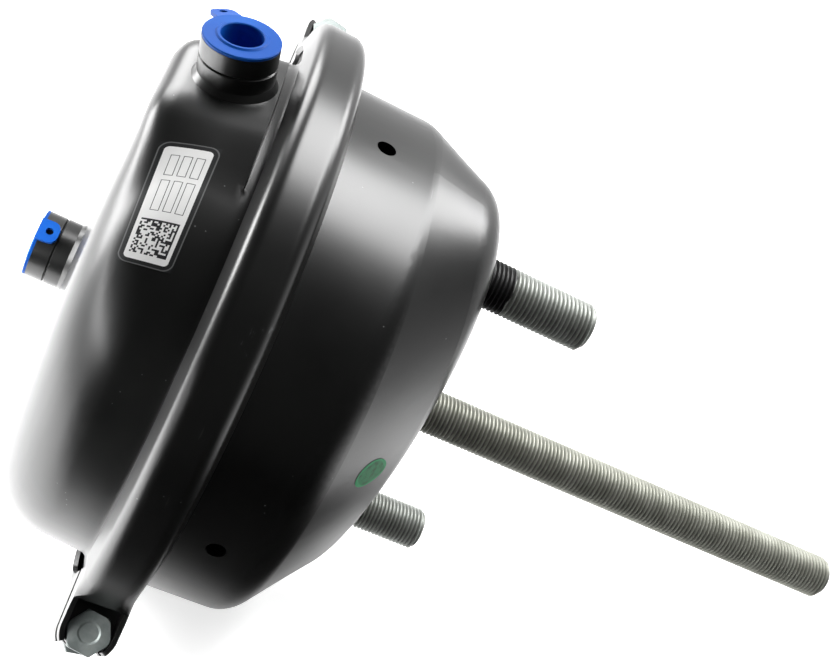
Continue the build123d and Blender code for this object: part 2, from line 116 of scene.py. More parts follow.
class Value:
    """A number or colour in a shader; Python's operators on it add Math nodes."""

    def __init__(self, shader: "Shader", socket: bpy.types.NodeSocket) -> None:
        """Wraps one output socket of a shader."""
        self.shader = shader
        self.socket = socket

    def _math(self, operation: str, first: Number, second: Number = 0.0) -> "Value":
        """Adds one Math node on two numbers."""
        return self.shader.node("ShaderNodeMath", {"operation": operation}, {0: first, 1: second})

    def __add__(self, other: Number) -> "Value":
        """self + other."""
        return self._math("ADD", self, other)

    def __radd__(self, other: Number) -> "Value":
        """other + self."""
        return self._math("ADD", other, self)

    def __sub__(self, other: Number) -> "Value":
        """self - other."""
        return self._math("SUBTRACT", self, other)

    def __rsub__(self, other: Number) -> "Value":
        """other - self."""
        return self._math("SUBTRACT", other, self)

    def __mul__(self, other: Number) -> "Value":
        """self * other."""
        return self._math("MULTIPLY", self, other)

    def __rmul__(self, other: Number) -> "Value":
        """other * self."""
        return self._math("MULTIPLY", other, self)

    def __pow__(self, other: Number) -> "Value":
        """self ** other."""
        return self._math("POWER", self, other)

    def magnitude(self) -> "Value":
        """The value without its sign."""
        return self._math("ABSOLUTE", self)

    def at_least(self, limit: Number) -> "Value":
        """self or the limit, whichever is larger."""
        return self._math("MAXIMUM", self, limit)

    def floor(self) -> "Value":
        """The whole part."""
        return self._math("FLOOR", self)

    def above(self, limit: Number) -> "Value":
        """1 where self is above the limit, else 0."""
        return self._math("GREATER_THAN", self, limit)

    def below(self, limit: Number) -> "Value":
        """1 where self is below the limit, else 0."""
        return self._math("LESS_THAN", self, limit)

    def ease(self, low: float, high: float) -> "Value":
        """0 at low, 1 at high and smooth in between.

        Args:
            low: the value that gives 0.
            high: the value that gives 1; it may lie below low.

        Returns:
            The eased value.
        """
        if low > high:
            return 1.0 - self.ease(high, low)
        return self.shader.node(
            "ShaderNodeMapRange",
            {"interpolation_type": "SMOOTHSTEP"},
            {0: self, 1: low, 2: high, 3: 0.0, 4: 1.0},
        )


class Coordinates(IntEnum):
    """The outputs of the Texture Coordinate node; on the world the first is the direction."""

    DIRECTION = 0
    UV = 2
    OBJECT = 3


class Ray(IntEnum):
    """The outputs of the Light Path node that tell rays apart."""

    CAMERA = 0
    GLOSSY = 3
    TRANSMISSION = 6


def grey(level: float) -> tuple[float, float, float, float]:
    """An even colour, from 0 for black to 1 for white, with full alpha."""
    return (level, level, level, 1.0)


class Shader:
    """Builds the node tree of one material or of the world."""

    def __init__(self, tree: bpy.types.NodeTree) -> None:
        """Starts on an emptied node tree."""
        self.tree = tree
        tree.nodes.clear()

    def node(self, kind: str, settings: dict[str, Setting], inputs: dict, output: int = 0) -> Value:
        """Adds a node.

        Args:
            kind: the node's Blender type.
            settings: its properties, and under "stops" a ramp's (place, colour) pairs.
            inputs: numbers, colours or Values by socket name or index.
            output: the index of the output wanted.

        Returns:
            The chosen output as a Value.
        """
        made = self.tree.nodes.new(kind)
        for name, value in settings.items():
            if name == "stops":
                self._set_stops(made, value)
            else:
                setattr(made, name, value)
        for key, value in inputs.items():
            if isinstance(value, Value):
                self.tree.links.new(value.socket, made.inputs[key])
            else:
                made.inputs[key].default_value = value
        return Value(self, made.outputs[output] if made.outputs else None)

    @staticmethod
    def _set_stops(ramp: bpy.types.Node, stops: Sequence[tuple[float, Triple]]) -> None:
        """Sets a colour ramp's stops.

        Args:
            ramp: the Color Ramp node.
            stops: its (place, colour) pairs.
        """
        elements = ramp.color_ramp.elements
        while len(elements) < len(stops):
            elements.new(1.0)
        for element, (place, colour) in zip(elements, stops):
            element.position = place
            element.color = (*colour, 1.0)

    def output(self, value: Value, index: int) -> Value:
        """Another output of the node that a value comes from."""
        return Value(self, value.socket.node.outputs[index])

    def place(self) -> Value:
        """The object coordinates."""
        return self.node("ShaderNodeTexCoord", {}, {}, output=Coordinates.OBJECT)

    def uv(self) -> Value:
        """The piece's own UV coordinates."""
        return self.node("ShaderNodeTexCoord", {}, {}, output=Coordinates.UV)

    def towards(self, direction: Vector) -> Value:
        """How far the world's direction points a given way, from -1 to 1.

        Args:
            direction: the way, in the world.

        Returns:
            The cosine between the two.
        """
        way = self.node("ShaderNodeTexCoord", {}, {}, output=Coordinates.DIRECTION)
        inputs = {0: way, 1: tuple(direction.normalized())}
        return self.node("ShaderNodeVectorMath", {"operation": "DOT_PRODUCT"}, inputs, output=1)

    def sees_background(self, mirrored: Value) -> Value:
        """1 for rays that should meet the plain white background.

        Args:
            mirrored: the mask of where a reflection may see the background too.

        Returns:
            1 for the camera's rays and those through glass, the mask for reflections, else 0.
        """
        path = self.node("ShaderNodeLightPath", {}, {})
        glossy = self.output(path, Ray.GLOSSY) * mirrored
        return self.output(path, Ray.CAMERA) + glossy + self.output(path, Ray.TRANSMISSION)

    def part(self, vector: Value, axis: int) -> Value:
        """One component of a vector."""
        return self.node("ShaderNodeSeparateXYZ", {}, {0: vector}, output=axis)

    def stretched(self, vector: Value, scale: Triple, shift: Triple = (0, 0, 0)) -> Value:
        """A vector moved and then scaled along each axis."""
        inputs = {"Vector": vector, "Location": shift, "Scale": scale}
        return self.node("ShaderNodeMapping", {}, inputs)

    def noise(self, vector: Value, scale: float, detail: float = 2.0, rough: float = 0.5) -> Value:
        """Perlin noise between 0 and 1."""
        inputs = {"Vector": vector, "Scale": scale, "Detail": detail, "Roughness": rough}
        return self.node("ShaderNodeTexNoise", {}, inputs)

    def cells(self, vector: Value, scale: float) -> Value:
        """Distance to the nearest of scattered points."""
        return self.node("ShaderNodeTexVoronoi", {}, {"Vector": vector, "Scale": scale})

    def distance(self, vector: Value, point: Triple) -> Value:
        """Distance from a point."""
        settings = {"operation": "DISTANCE"}
        return self.node("ShaderNodeVectorMath", settings, {0: vector, 1: point}, output=1)

    def mix(self, factor: Number, low: Union[Triple, Value], high: Union[Triple, Value]) -> Value:
        """A colour between two others.

        Args:
            factor: 0 for the first colour and 1 for the second.
            low: the first colour.
            high: the second colour.

        Returns:
            The mixed colour.
        """
        colours = {
            key: value if isinstance(value, Value) else (*value, 1.0)
            for key, value in ((6, low), (7, high))
        }
        return self.node("ShaderNodeMix", {"data_type": "RGBA"}, {0: factor, **colours}, output=2)

    def bump(self, height: Value, distance: float, strength: float = 1.0) -> Value:
        """A bumped normal; the distance is in metres."""
        inputs = {"Height": height, "Distance": distance, "Strength": strength}
        return self.node("ShaderNodeBump", {}, inputs)

    def surface(self, **sockets: Union[Number, Triple]) -> None:
        """Adds the Principled shader and the output.

        Args:
            sockets: values by socket name, with spaces as underscores.
        """
        inputs = {}
        for name, value in sockets.items():
            plain_colour = isinstance(value, tuple) and name.endswith("Color")
            inputs[name.replace("_", " ")] = (*value, 1.0) if plain_colour else value
        principled = self.node("ShaderNodeBsdfPrincipled", {}, inputs)
        self.node("ShaderNodeOutputMaterial", {}, {"Surface": principled})


@dataclass(frozen=True)
class Finish:
    """A surface finish, made into a Blender material on first use."""

    name: str

    def paint(self, shader: Shader) -> None:
        """Fills in the shader; each finish has its own."""
        raise NotImplementedError

    def material(self) -> bpy.types.Material:
        """The finish's material.

        Returns:
            The material of that name, made if there was none.
        """
        found = bpy.data.materials.get(self.name)
        if found is None:
            found = bpy.data.materials.new(self.name)
            found.use_nodes = True
            self.paint(Shader(found.node_tree))
        return found


@dataclass(frozen=True)
class Scuff:
    """A small rubbed mark at a place on a painted surface."""

    place: Triple
    reach: float
    scale: Triple


@dataclass(frozen=True)
class SatinPaint(Finish):
    """Black satin paint over pressed steel, with dust specks, fine scratches and rubbed marks."""

    deep: Triple = (0.0025, 0.0026, 0.0026)
    dusty: Triple = (0.007, 0.0073, 0.007)
    speck: Triple = (0.16, 0.165, 0.165)
    roughness: float = 0.33
    scuffs: tuple[Scuff, ...] = ()
    cloud_scale: float = 22.0
    speck_scale: float = 330.0
    scratch_scale: Triple = (900.0, 60.0, 60.0)
    peel_scales: tuple[float, float] = (900.0, 130.0)
    peel_depth: float = 0.012 * MM

    def paint(self, shader: Shader) -> None:
        """Cloudy black with specks, hairline scratches and an orange-peel skin.

        Args:
            shader: the material's shader.
        """
        place = shader.place()
        cloud = shader.noise(place, self.cloud_scale, 4.0)
        dots = shader.cells(place, self.speck_scale).below(0.07)
        specks = dots * shader.noise(place, 60.0).above(0.6)
        scratch_field = shader.noise(shader.stretched(place, self.scratch_scale), 1.0, 1.0)
        scratches = scratch_field.ease(0.73, 0.78) * shader.noise(place, 35.0).ease(0.55, 0.65)
        colour = shader.mix(cloud.ease(0.35, 0.75), self.deep, self.dusty)
        marks = specks * 0.55 + scratches * 0.25
        for scuff in self.scuffs:
            marks = marks + self._scuff(shader, place, scuff)
        colour = shader.mix(marks.ease(0.0, 1.0), colour, self.speck)
        fine, coarse = self.peel_scales
        skin = shader.noise(place, fine, 2.0) + shader.noise(place, coarse, 1.0) * 1.5
        rough = self.roughness + (cloud - 0.5) * 0.14 + marks * 0.2
        shader.surface(
            Base_Color=colour,
            Roughness=rough,
            Specular_IOR_Level=0.55,
            Coat_Weight=0.12,
            Coat_Roughness=0.22,
            Normal=shader.bump(skin, self.peel_depth, 0.5),
        )

    @staticmethod
    def _scuff(shader: Shader, place: Value, scuff: Scuff) -> Value:
        """The mask of one rubbed mark.

        Args:
            shader: the shader it adds its nodes to.
            place: the object coordinates.
            scuff: the mark.

        Returns:
            0 off the mark, up to 0.5 on its streaks.
        """
        near = shader.distance(place, scuff.place).ease(scuff.reach, scuff.reach * 0.3)
        streaks = shader.noise(shader.stretched(place, scuff.scale), 1.0, 4.0, 0.7)
        return near * streaks.ease(0.56, 0.68) * 0.5


@dataclass(frozen=True)
class ZincPlate(Finish):
    """Dull zinc plate with a faint olive cast; thread roots are darkened by painted shade, and
    paint may reach it.
    """

    axis: tuple[float, float] = (0.0, 0.0)
    root_r: float = 0.0
    crest_r: float = 0.0
    painted_to: float = -1.0
    light: Triple = (0.46, 0.48, 0.455)
    dull: Triple = (0.33, 0.345, 0.32)
    root_shade: Triple = (0.10, 0.105, 0.095)
    paint_colour: Triple = (0.008, 0.008, 0.008)
    metal: float = 0.55
    paint_fade: float = 0.4 * MM
    paint_waver: float = 3.0 * MM
    grain_depth: float = 0.01 * MM

    def paint(self, shader: Shader) -> None:
        """Blotchy grey plate with painted shade in the thread roots, black where the paint reached
        it.

        Args:
            shader: the material's shader.
        """
        place = shader.place()
        blotch = shader.noise(place, 120.0, 5.0, 0.6)
        grain = shader.noise(place, 1500.0, 2.0)
        colour = shader.mix(blotch.ease(0.3, 0.7), self.dull, self.light)
        painted: Number = 0.0
        if self.crest_r:
            across = (shader.part(place, 1) - self.axis[0]) ** 2.0
            along = (shader.part(place, 2) - self.axis[1]) ** 2.0
            depth = ((across + along) ** 0.5).ease(self.crest_r, self.root_r)
            # painted shade: darker towards the thread roots, by distance from the thread's axis
            colour = shader.mix(depth * 0.6, colour, self.root_shade)
            waver = (shader.noise(place, 160.0, 3.0) - 0.5) * self.paint_waver
            edge = shader.part(place, 0) + waver
            painted = edge.ease(self.painted_to + self.paint_fade, self.painted_to)
            colour = shader.mix(painted, colour, self.paint_colour)
        shader.surface(
            Base_Color=colour,
            Metallic=self.metal - self.metal * painted,
            Roughness=0.42 + blotch * 0.16,
            Normal=shader.bump(grain + blotch, self.grain_depth, 0.6),
        )


@dataclass(frozen=True)
class Polythene(Finish):
    """Soft blue moulded polythene."""

    colour: Triple = (0.002, 0.06, 0.3)
    pale: Triple = (0.006, 0.09, 0.38)
    flow_scale: Triple = (60.0, 60.0, 240.0)
    skin_depth: float = 0.012 * MM

    def paint(self, shader: Shader) -> None:
        """Slightly milky blue with flow marks and a waxy skin.

        Args:
            shader: the material's shader.
        """
        place = shader.place()
        flow = shader.noise(shader.stretched(place, self.flow_scale), 1.0, 3.0)
        skin = shader.noise(place, 1400.0, 2.0)
        shader.surface(
            Base_Color=shader.mix(flow.ease(0.4, 0.75), self.colour, self.pale),
            Roughness=0.42 + flow * 0.12,
            Specular_IOR_Level=0.12,
            Normal=shader.bump(skin + flow * 2.0, self.skin_depth, 0.6),
        )


@dataclass(frozen=True)
class OiledSteel(Finish):
    """Bare pressed steel with a film of oil."""

    light: Triple = (0.36, 0.36, 0.37)
    dark: Triple = (0.16, 0.155, 0.15)
    roughness: float = 0.34
    grain_scale: Triple = (800.0, 40.0, 800.0)
    grain_depth: float = 0.01 * MM

    def paint(self, shader: Shader) -> None:
        """Rolled grain with darker oily clouds.

        Args:
            shader: the material's shader.
        """
        place = shader.place()
        grain = shader.noise(shader.stretched(place, self.grain_scale), 1.0, 3.0)
        cloud = shader.noise(place, 40.0, 4.0)
        oil = cloud.ease(0.35, 0.7) * 0.6 + grain * 0.3
        shader.surface(
            Base_Color=shader.mix(oil, self.light, self.dark),
            Metallic=0.9,
            Roughness=self.roughness + cloud * 0.15,
            Normal=shader.bump(grain, self.grain_depth, 0.5),
        )


@dataclass(frozen=True)
class ClothRubber(Finish):
    """Fabric-reinforced black rubber."""

    colour: Triple = (0.012, 0.012, 0.012)
    bloom: Triple = (0.035, 0.035, 0.036)
    cord_pitch: float = 0.9 * MM
    cord_depth: float = 0.05 * MM

    def paint(self, shader: Shader) -> None:
        """Black rubber with a bloom and the weave showing faintly through.

        Args:
            shader: the material's shader.
        """
        place = shader.place()
        weave = shader.cells(place, 1.0 / self.cord_pitch)
        bloom = shader.noise(place, 45.0, 4.0)
        shader.surface(
            Base_Color=shader.mix(bloom.ease(0.45, 0.75), self.colour, self.bloom),
            Roughness=0.62 + bloom * 0.2,
            Normal=shader.bump(weave, self.cord_depth, 0.4),
        )


@dataclass(frozen=True)
class Moulding(Finish):
    """Black moulded plastic with a spark-eroded texture."""

    colour: Triple = (0.014, 0.014, 0.015)
    worn: Triple = (0.04, 0.04, 0.042)
    texture_scale: float = 1800.0
    texture_depth: float = 0.02 * MM

    def paint(self, shader: Shader) -> None:
        """Dark plastic with a fine even texture.

        Args:
            shader: the material's shader.
        """
        place = shader.place()
        texture = shader.noise(place, self.texture_scale, 2.0)
        wear = shader.noise(place, 70.0, 4.0)
        shader.surface(
            Base_Color=shader.mix(wear.ease(0.5, 0.8), self.colour, self.worn),
            Roughness=0.5 + texture * 0.15,
            Normal=shader.bump(texture, self.texture_depth, 0.6),
        )


@dataclass(frozen=True)
class LabelPrint(Finish):
    """A white film label on a clear carrier, with empty boxes and a chequered block.

    Nothing on it can be read: the boxes are bare and the block's squares are random.
    """

    film: Triple = (0.84, 0.84, 0.83)
    soiled: Triple = (0.66, 0.66, 0.66)
    ink: Triple = (0.02, 0.02, 0.022)
    carrier: Triple = (0.014, 0.0145, 0.015)
    cut_edge: Triple = (0.22, 0.225, 0.225)
    aspect: float = 0.36
    film_edge: tuple[float, float] = (0.036, 0.03)
    carrier_edge: tuple[float, float] = (0.008, 0.06)
    cut_line: tuple[float, float] = (0.0, 0.065)
    block: tuple[float, float] = (0.64, 0.915)
    block_sides: tuple[float, float] = (0.17, 0.83)
    block_cells: int = 20
    rows: tuple[tuple[float, float], ...] = ((0.19, 0.34), (0.40, 0.55), (0.61, 0.76))
    boxes: tuple[tuple[float, float], ...] = ((0.10, 0.27), (0.31, 0.57))
    line: float = 0.012
    line_share: float = 0.4

    def paint(self, shader: Shader) -> None:
        """Film inside the carrier's rim, with the printed marks on it.

        Args:
            shader: the material's shader.
        """
        uv = shader.uv()
        along, across = shader.part(uv, 0), shader.part(uv, 1)
        film = self._rounded(along, across, *self.film_edge)
        clear = self._rounded(along, across, *self.carrier_edge)
        line = (self._rounded(along, across, *self.cut_line) - clear) * 0.5
        ink = self._block(shader, along, across)
        for low, high in self.rows:
            for start, end in self.boxes:
                ink = ink + self._box(along, across, (start, end), (low, high))
        soil = shader.noise(shader.place(), 300.0, 3.0) * 0.25
        paper = shader.mix(soil, self.film, self.soiled)
        printed = shader.mix(ink.ease(0.0, 1.0), paper, self.ink)
        around = shader.mix(line.ease(0.2, 0.8), self.carrier, self.cut_edge)
        shader.surface(
            Base_Color=shader.mix(film, around, printed),
            Roughness=0.34 - 0.06 * film,
            Coat_Weight=0.2,
            Coat_Roughness=0.15,
        )

    def _rounded(self, along: Value, across: Value, inset: float, corner: float) -> Value:
        """1 inside a rounded rectangle.

        Args:
            along: place along the label, 0 to 1.
            across: place across it, 0 to 1.
            inset: how far the rectangle lies inside the label's edge, in label lengths.
            corner: radius of its corners, in label lengths.

        Returns:
            The mask.
        """
        reach = self._beyond(along, 0.5 - inset - corner) ** 2.0
        width = self.aspect * 0.5 - inset - corner
        side = self._beyond((across - 0.5) * self.aspect + 0.5, width) ** 2.0
        return ((reach + side) ** 0.5).below(corner)

    @staticmethod
    def _beyond(value: Value, half: float) -> Value:
        """How far a place lies past a half size from the middle, and 0 before that."""
        return ((value - 0.5).magnitude() - half).at_least(0.0)

    @staticmethod
    def _inside(value: Value, low: float, high: float) -> Value:
        """1 between two limits."""
        return value.above(low) * value.below(high)

    def _box(
        self, along: Value, across: Value, length: tuple[float, float], width: tuple[float, float]
    ) -> Value:
        """The thin outline of an empty box.

        Args:
            along: place along the label, 0 to 1.
            across: place across it, 0 to 1.
            length: where the box starts and ends along the label.
            width: where it starts and ends across it.

        Returns:
            The outline's mask.
        """
        thick = (self.line * self.line_share, self.line)
        outer = self._inside(along, *length) * self._inside(across, *width)
        inner = self._inside(along, length[0] + thick[0], length[1] - thick[0])
        inner = inner * self._inside(across, width[0] + thick[1], width[1] - thick[1])
        return outer - inner

    def _block(self, shader: Shader, along: Value, across: Value) -> Value:
        """A block of random squares with two solid sides.

        Args:
            shader: the shader it adds its nodes to.
            along: place along the label, 0 to 1.
            across: place across it, 0 to 1.

        Returns:
            The printed squares' mask.
        """
        (start, end), (low, high) = self.block, self.block_sides
        column = ((along - start) * (self.block_cells / (end - start))).floor()
        row = ((across - low) * (self.block_cells / (high - low))).floor()
        cell = shader.node("ShaderNodeCombineXYZ", {}, {0: column, 1: row, 2: 0.5})
        chance = shader.node("ShaderNodeTexWhiteNoise", {}, {"Vector": cell}).above(0.5)
        solid = (column.below(0.5) + row.below(0.5)).ease(0.0, 1.0)
        squares = (chance + solid).ease(0.0, 1.0)
        return squares * self._inside(along, start, end) * self._inside(across, low, high)


@dataclass(frozen=True)
class StickerDot(Finish):
    """A plain translucent green dot."""

    colour: Triple = (0.01, 0.22, 0.075)
    edge: Triple = (0.02, 0.32, 0.12)
    worn: Triple = (0.02, 0.05, 0.03)

    def paint(self, shader: Shader) -> None:
        """Green film, paler at the rim and worn in the middle.

        Args:
            shader: the material's shader.
        """
        uv = shader.uv()
        radius = shader.distance(uv, (0.5, 0.5, 0.0))
        wear = shader.noise(shader.place(), 420.0, 4.0, 0.7)
        colour = shader.mix(wear.ease(0.45, 0.62) * 0.6, self.colour, self.worn)
        shader.surface(
            Base_Color=shader.mix(radius.ease(0.42, 0.48), colour, self.edge),
            Roughness=0.5 + wear * 0.15,
            Specular_IOR_Level=0.3,
        )


class Slot(Enum):
    """Names of material slots."""

    PAINT = "black_paint"
    PLUG = "blue_plastic"
    ZINC = "zinc_plate"
    STEEL = "bare_steel"
    SPRING = "spring_steel"
    RUBBER = "black_rubber"
    MOULDING = "black_plastic"


# ---------------------------------------------------------------- mesh building


def add_object(name: str, data: bpy.types.ID) -> bpy.types.Object:
    """Makes an object of a mesh, lamp or camera and links it to the scene.

    Args:
        name: the object's name.
        data: its mesh, lamp or camera.

    Returns:
        The object, linked to the scene.
    """
    made = bpy.data.objects.new(name, data)
    bpy.context.scene.collection.objects.link(made)
    return made


def radial_at(azimuth: float) -> Vector:
    """The way out from the X axis at an azimuth in degrees, from +Z towards -Y."""
    angle = math.radians(azimuth)
    return Vector((0, -math.sin(angle), math.cos(angle)))


def tangent_at(azimuth: float) -> Vector:
    """The way along a circle round the X axis towards smaller azimuths, from one in degrees."""
    angle = math.radians(azimuth)
    return Vector((0, math.cos(angle), math.sin(angle)))


def axes_at(place: Vector, first: Vector, second: Vector, third: Vector) -> Matrix:
    """The matrix that stands a shape at a place with its X, Y and Z along three directions."""
    return Matrix.Translation(place) @ Matrix((first, second, third)).transposed().to_4x4()


def move(shape: bmesh.types.BMesh, matrix: Matrix) -> None:
    """Moves a whole bmesh by a matrix."""
    bmesh.ops.transform(shape, matrix=matrix, verts=shape.verts)


def whole(shape: bmesh.types.BMesh) -> list:
    """All vertices, edges and faces of a bmesh."""
    return shape.verts[:] + shape.edges[:] + shape.faces[:]


def vertices(geometry: Iterable) -> list[bmesh.types.BMVert]:
    """The vertices among an operator's new geometry."""
    return [item for item in geometry if isinstance(item, bmesh.types.BMVert)]


def face_outwards(shape: bmesh.types.BMesh) -> None:
    """Turns all faces of a bmesh outwards."""
    bmesh.ops.recalc_face_normals(shape, faces=shape.faces)


def merge(shape: bmesh.types.BMesh, gap: float = ONE_POINT) -> None:
    """Makes vertices that are nearer than the gap one."""
    bmesh.ops.remove_doubles(shape, verts=shape.verts, dist=gap)


def close_ends(shape: bmesh.types.BMesh) -> None:
    """Fills a bmesh's open ends and turns its faces outwards."""
    bmesh.ops.holes_fill(shape, edges=[e for e in shape.edges if e.is_boundary], sides=0)
    face_outwards(shape)


def draw_in(vert: bmesh.types.BMVert, allowed: float) -> None:
    """Moves a vertex towards the X axis until it is no further from it than allowed.

    Args:
        vert: the vertex.
        allowed: its largest distance from the axis.
    """
    radius = math.hypot(vert.co.y, vert.co.z)
    if radius > allowed:
        vert.co.y *= allowed / radius
        vert.co.z *= allowed / radius


def finish_mesh(
    shape: bmesh.types.BMesh, name: str, finish: Finish, sharp: float = 35.0
) -> bpy.types.Object:
    """Makes a bmesh an object at the origin, with smooth faces and sharp edges by angle.

    Args:
        shape: the finished shape, in the part's frame; it is freed.
        name: the object's name.
        finish: the finish it wears.
        sharp: the angle in degrees above which an edge stays sharp.

    Returns:
        The new object, linked to the scene.
    """
    limit = math.radians(sharp)
    for face in shape.faces:
        face.smooth = True
    for edge in shape.edges:
        edge.smooth = edge.calc_face_angle(0.0) < limit
    mesh = bpy.data.meshes.new(name)
    shape.to_mesh(mesh)
    shape.free()
    piece = add_object(name, mesh)
    mesh.materials.append(finish.material())
    LOG.info("%s: %d faces", name, len(mesh.polygons))
    return piece


def dress(node: bpy.types.Object, finish: Finish) -> None:
    """Puts a finish on a CAD node.

    Args:
        node: the node's object.
        finish: the finish it gets.
    """
    node.data.materials.clear()
    node.data.materials.append(finish.material())
    LOG.info("%s: dressed in %s", node.name, finish.name)


def merged_copy(node: bpy.types.Object) -> bmesh.types.BMesh:
    """A copy of a CAD node's mesh with its loose triangles joined.

    Args:
        node: the node's object.

    Returns:
        The closed mesh.
    """
    shape = bmesh.new()
    shape.from_mesh(node.data)
    merge(shape, 0.002 * MM)
    return shape


def outline(shape: bmesh.types.BMesh, points: Iterable[tuple[float, float]]) -> list:
    """Adds an open line of (x, radius) points above the X axis.

    Args:
        shape: the bmesh to add to.
        points: the line's points.

    Returns:
        The new vertices and edges.
    """
    verts = [shape.verts.new((x, 0.0, radius)) for x, radius in points]
    edges = [shape.edges.new(pair) for pair in zip(verts, verts[1:])]
    return verts + edges


def turn(
    shape: bmesh.types.BMesh, geometry: list, steps: int, axis: Triple = (1.0, 0.0, 0.0)
) -> None:
    """Spins a line once round an axis through the origin and joins it to itself.

    Args:
        shape: the bmesh that holds the line.
        geometry: the line's vertices and edges.
        steps: how many facets go round the axis.
        axis: the way of the axis.
    """
    bmesh.ops.spin(
        shape,
        geom=geometry,
        cent=(0, 0, 0),
        axis=axis,
        dvec=(0, 0, 0),
        angle=math.tau,
        steps=steps,
        use_merge=True,
    )


def lathe(points: Iterable[tuple[float, float]], steps: int) -> bmesh.types.BMesh:
    """Turns a closed shape round the X axis.

    Args:
        points: its (x, radius) outline, from the axis back to the axis or to its start.
        steps: how many facets it has round the axis.

    Returns:
        The shape.
    """
    shape = bmesh.new()
    turn(shape, outline(shape, points), steps)
    merge(shape)
    face_outwards(shape)
    return shape


@dataclass
class Thread:
    """A 60-degree external thread along X, centred on the axis."""

    start: float
    end: float
    crest_r: float
    pitch: float
    steps: int = 28
    chamfer: float = 1.5 * MM
    depth: float = 0.6134
    gap: float = 0.004 * MM

    @property
    def root_r(self) -> float:
        """Radius at the bottom of the thread, whose depth is given in pitches."""
        return self.crest_r - self.depth * self.pitch

    def add_to(self, shape: bmesh.types.BMesh) -> None:
        """Spins one pitch of the profile along the helix, trims it and closes its end.

        Args:
            shape: the bmesh that gets the thread.
        """
        flat = self.pitch / 8
        low, top = self.root_r, self.crest_r
        first = self.start - self.pitch
        profile = [(0, low), (flat, low), (self.pitch / 2, top), (self.pitch / 2 + flat, top)]
        profile.append((self.pitch, low))
        made = bmesh.new()
        geometry = outline(made, [(first + x, radius) for x, radius in profile])
        bmesh.ops.spin(
            made,
            geom=geometry,
            cent=(0, 0, 0),
            axis=(1, 0, 0),
            dvec=(self.pitch / self.steps, 0, 0),
            angle=math.tau,
            steps=self.steps,
        )
        length = self.pitch
        while first + length < self.end + self.pitch:
            copied = bmesh.ops.duplicate(made, geom=whole(made))["geom"]
            bmesh.ops.translate(made, verts=vertices(copied), vec=(length, 0, 0))
            length *= 2
        merge(made, self.gap)
        for x, side in ((self.start, -1), (self.end, 1)):
            bmesh.ops.bisect_plane(
                made,
                geom=whole(made),
                dist=ON_PLANE,
                plane_co=(x, 0, 0),
                plane_no=(side, 0, 0),
                clear_outer=True,
            )
        self._chamfer_tip(made)
        close_ends(made)
        join(shape, made)

    def _chamfer_tip(self, made: bmesh.types.BMesh) -> None:
        """Draws the last turns in to a blunt cone.

        Args:
            made: the thread's own bmesh.
        """
        for vert in made.verts:
            past = vert.co.x - (self.end - self.chamfer)
            draw_in(vert, self.crest_r - max(past, 0.0))


def bevel(shape: bmesh.types.BMesh, geometry: list, offset: float, affect: str) -> None:
    """Rounds vertices or edges, as affect says, over six segments.

    Args:
        shape: the bmesh.
        geometry: the vertices or edges to round.
        offset: how far the rounding reaches.
        affect: VERTICES or EDGES.
    """
    bmesh.ops.bevel(
        shape, geom=geometry, offset=offset, segments=6, profile=0.5, affect=affect, material=-1
    )


def join(shape: bmesh.types.BMesh, other: bmesh.types.BMesh) -> None:
    """Adds another bmesh to a bmesh and frees it.

    Args:
        shape: the bmesh that grows.
        other: the one that is added and freed.
    """
    mesh = bpy.data.meshes.new("joined")
    other.to_mesh(mesh)
    other.free()
    shape.from_mesh(mesh)
    bpy.data.meshes.remove(mesh)


# ---------------------------------------------------------------- sub-assemblies


@dataclass(frozen=True)
class Threaded:
    """The thread's crest radius and pitch, which the rod and the studs share."""

    crest_r: float = 8.0 * MM
    pitch: float = 1.5 * MM


@dataclass
class HexFastener:
    """A clamp bolt or nut: a forged hexagon that the lug's cheeks keep from turning."""

    node: str
    azimuth: float
    facing: float
    height: float
    offset: float
    flats: float = 12.2 * MM
    spin: float = math.radians(21.0)
    chamfer: float = 0.5 * MM
    cone_steps: int = 4
    thread_r: float = 4.0 * MM
    pitch: float = 1.25 * MM
    sunk: float = 0.3 * MM
    dish_rim: float = 3.4 * MM
    dish_floor: float = 2.8 * MM
    dish_depth: float = 0.35 * MM
    bore_chamfer: float = 0.6 * MM
    facets: int = 96

    def build(self, finish: Finish, shank: float) -> bpy.types.Object:
        """Makes the hexagon and its thread.

        Args:
            finish: the plating.
            shank: length of the threaded shank behind the hexagon, or 0 for a nut.

        Returns:
            The fastener's object, riding on the chamber.
        """
        shape = self._hexagon(bored=not shank)
        move(shape, Matrix.Rotation(self.spin, 4, "X"))
        if shank:
            Thread(-shank, self.sunk, self.thread_r, self.pitch, chamfer=0.0).add_to(shape)
        radial, outward = radial_at(self.azimuth), tangent_at(self.azimuth) * self.facing
        seat = Vector((LAYOUT.joint_x, 0, 0)) + radial * LAYOUT.bolt_r + outward * self.offset
        move(shape, axes_at(seat, outward, radial, outward.cross(radial)))
        piece = finish_mesh(shape, f"{self.node}_forged", finish, sharp=25.0)
        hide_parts(self.node)
        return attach(piece, "chamber")

    def _hexagon(self, bored: bool) -> bmesh.types.BMesh:
        """A hexagon along X with a coned edge and, on a bolt, a shallow dish in its face.

        Args:
            bored: True for a nut, which has a bore and no dish.

        Returns:
            The closed hexagon, with its seat at the origin.
        """
        corner, top, bore = self.flats / math.sqrt(3), self.height, self.thread_r
        line = [(0, bore if bored else 0.0), (0, corner)]
        for step in range(self.cone_steps + 1):
            share = step / self.cone_steps
            line.append((top - self.chamfer * (1 - share), corner - self.chamfer * share))
        if bored:
            line += [(top, bore + self.bore_chamfer), (top - self.bore_chamfer, bore), (0, bore)]
        else:
            floor = top - self.dish_depth
            line += [(top, self.dish_rim), (floor, self.dish_floor), (floor, 0)]
        shape = lathe(line, self.facets)
        for vert in shape.verts:
            sector = math.atan2(vert.co.z, vert.co.y) % (math.pi / 3) - math.pi / 6
            draw_in(vert, self.flats / 2 / math.cos(sector))
        face_outwards(shape)
        return shape


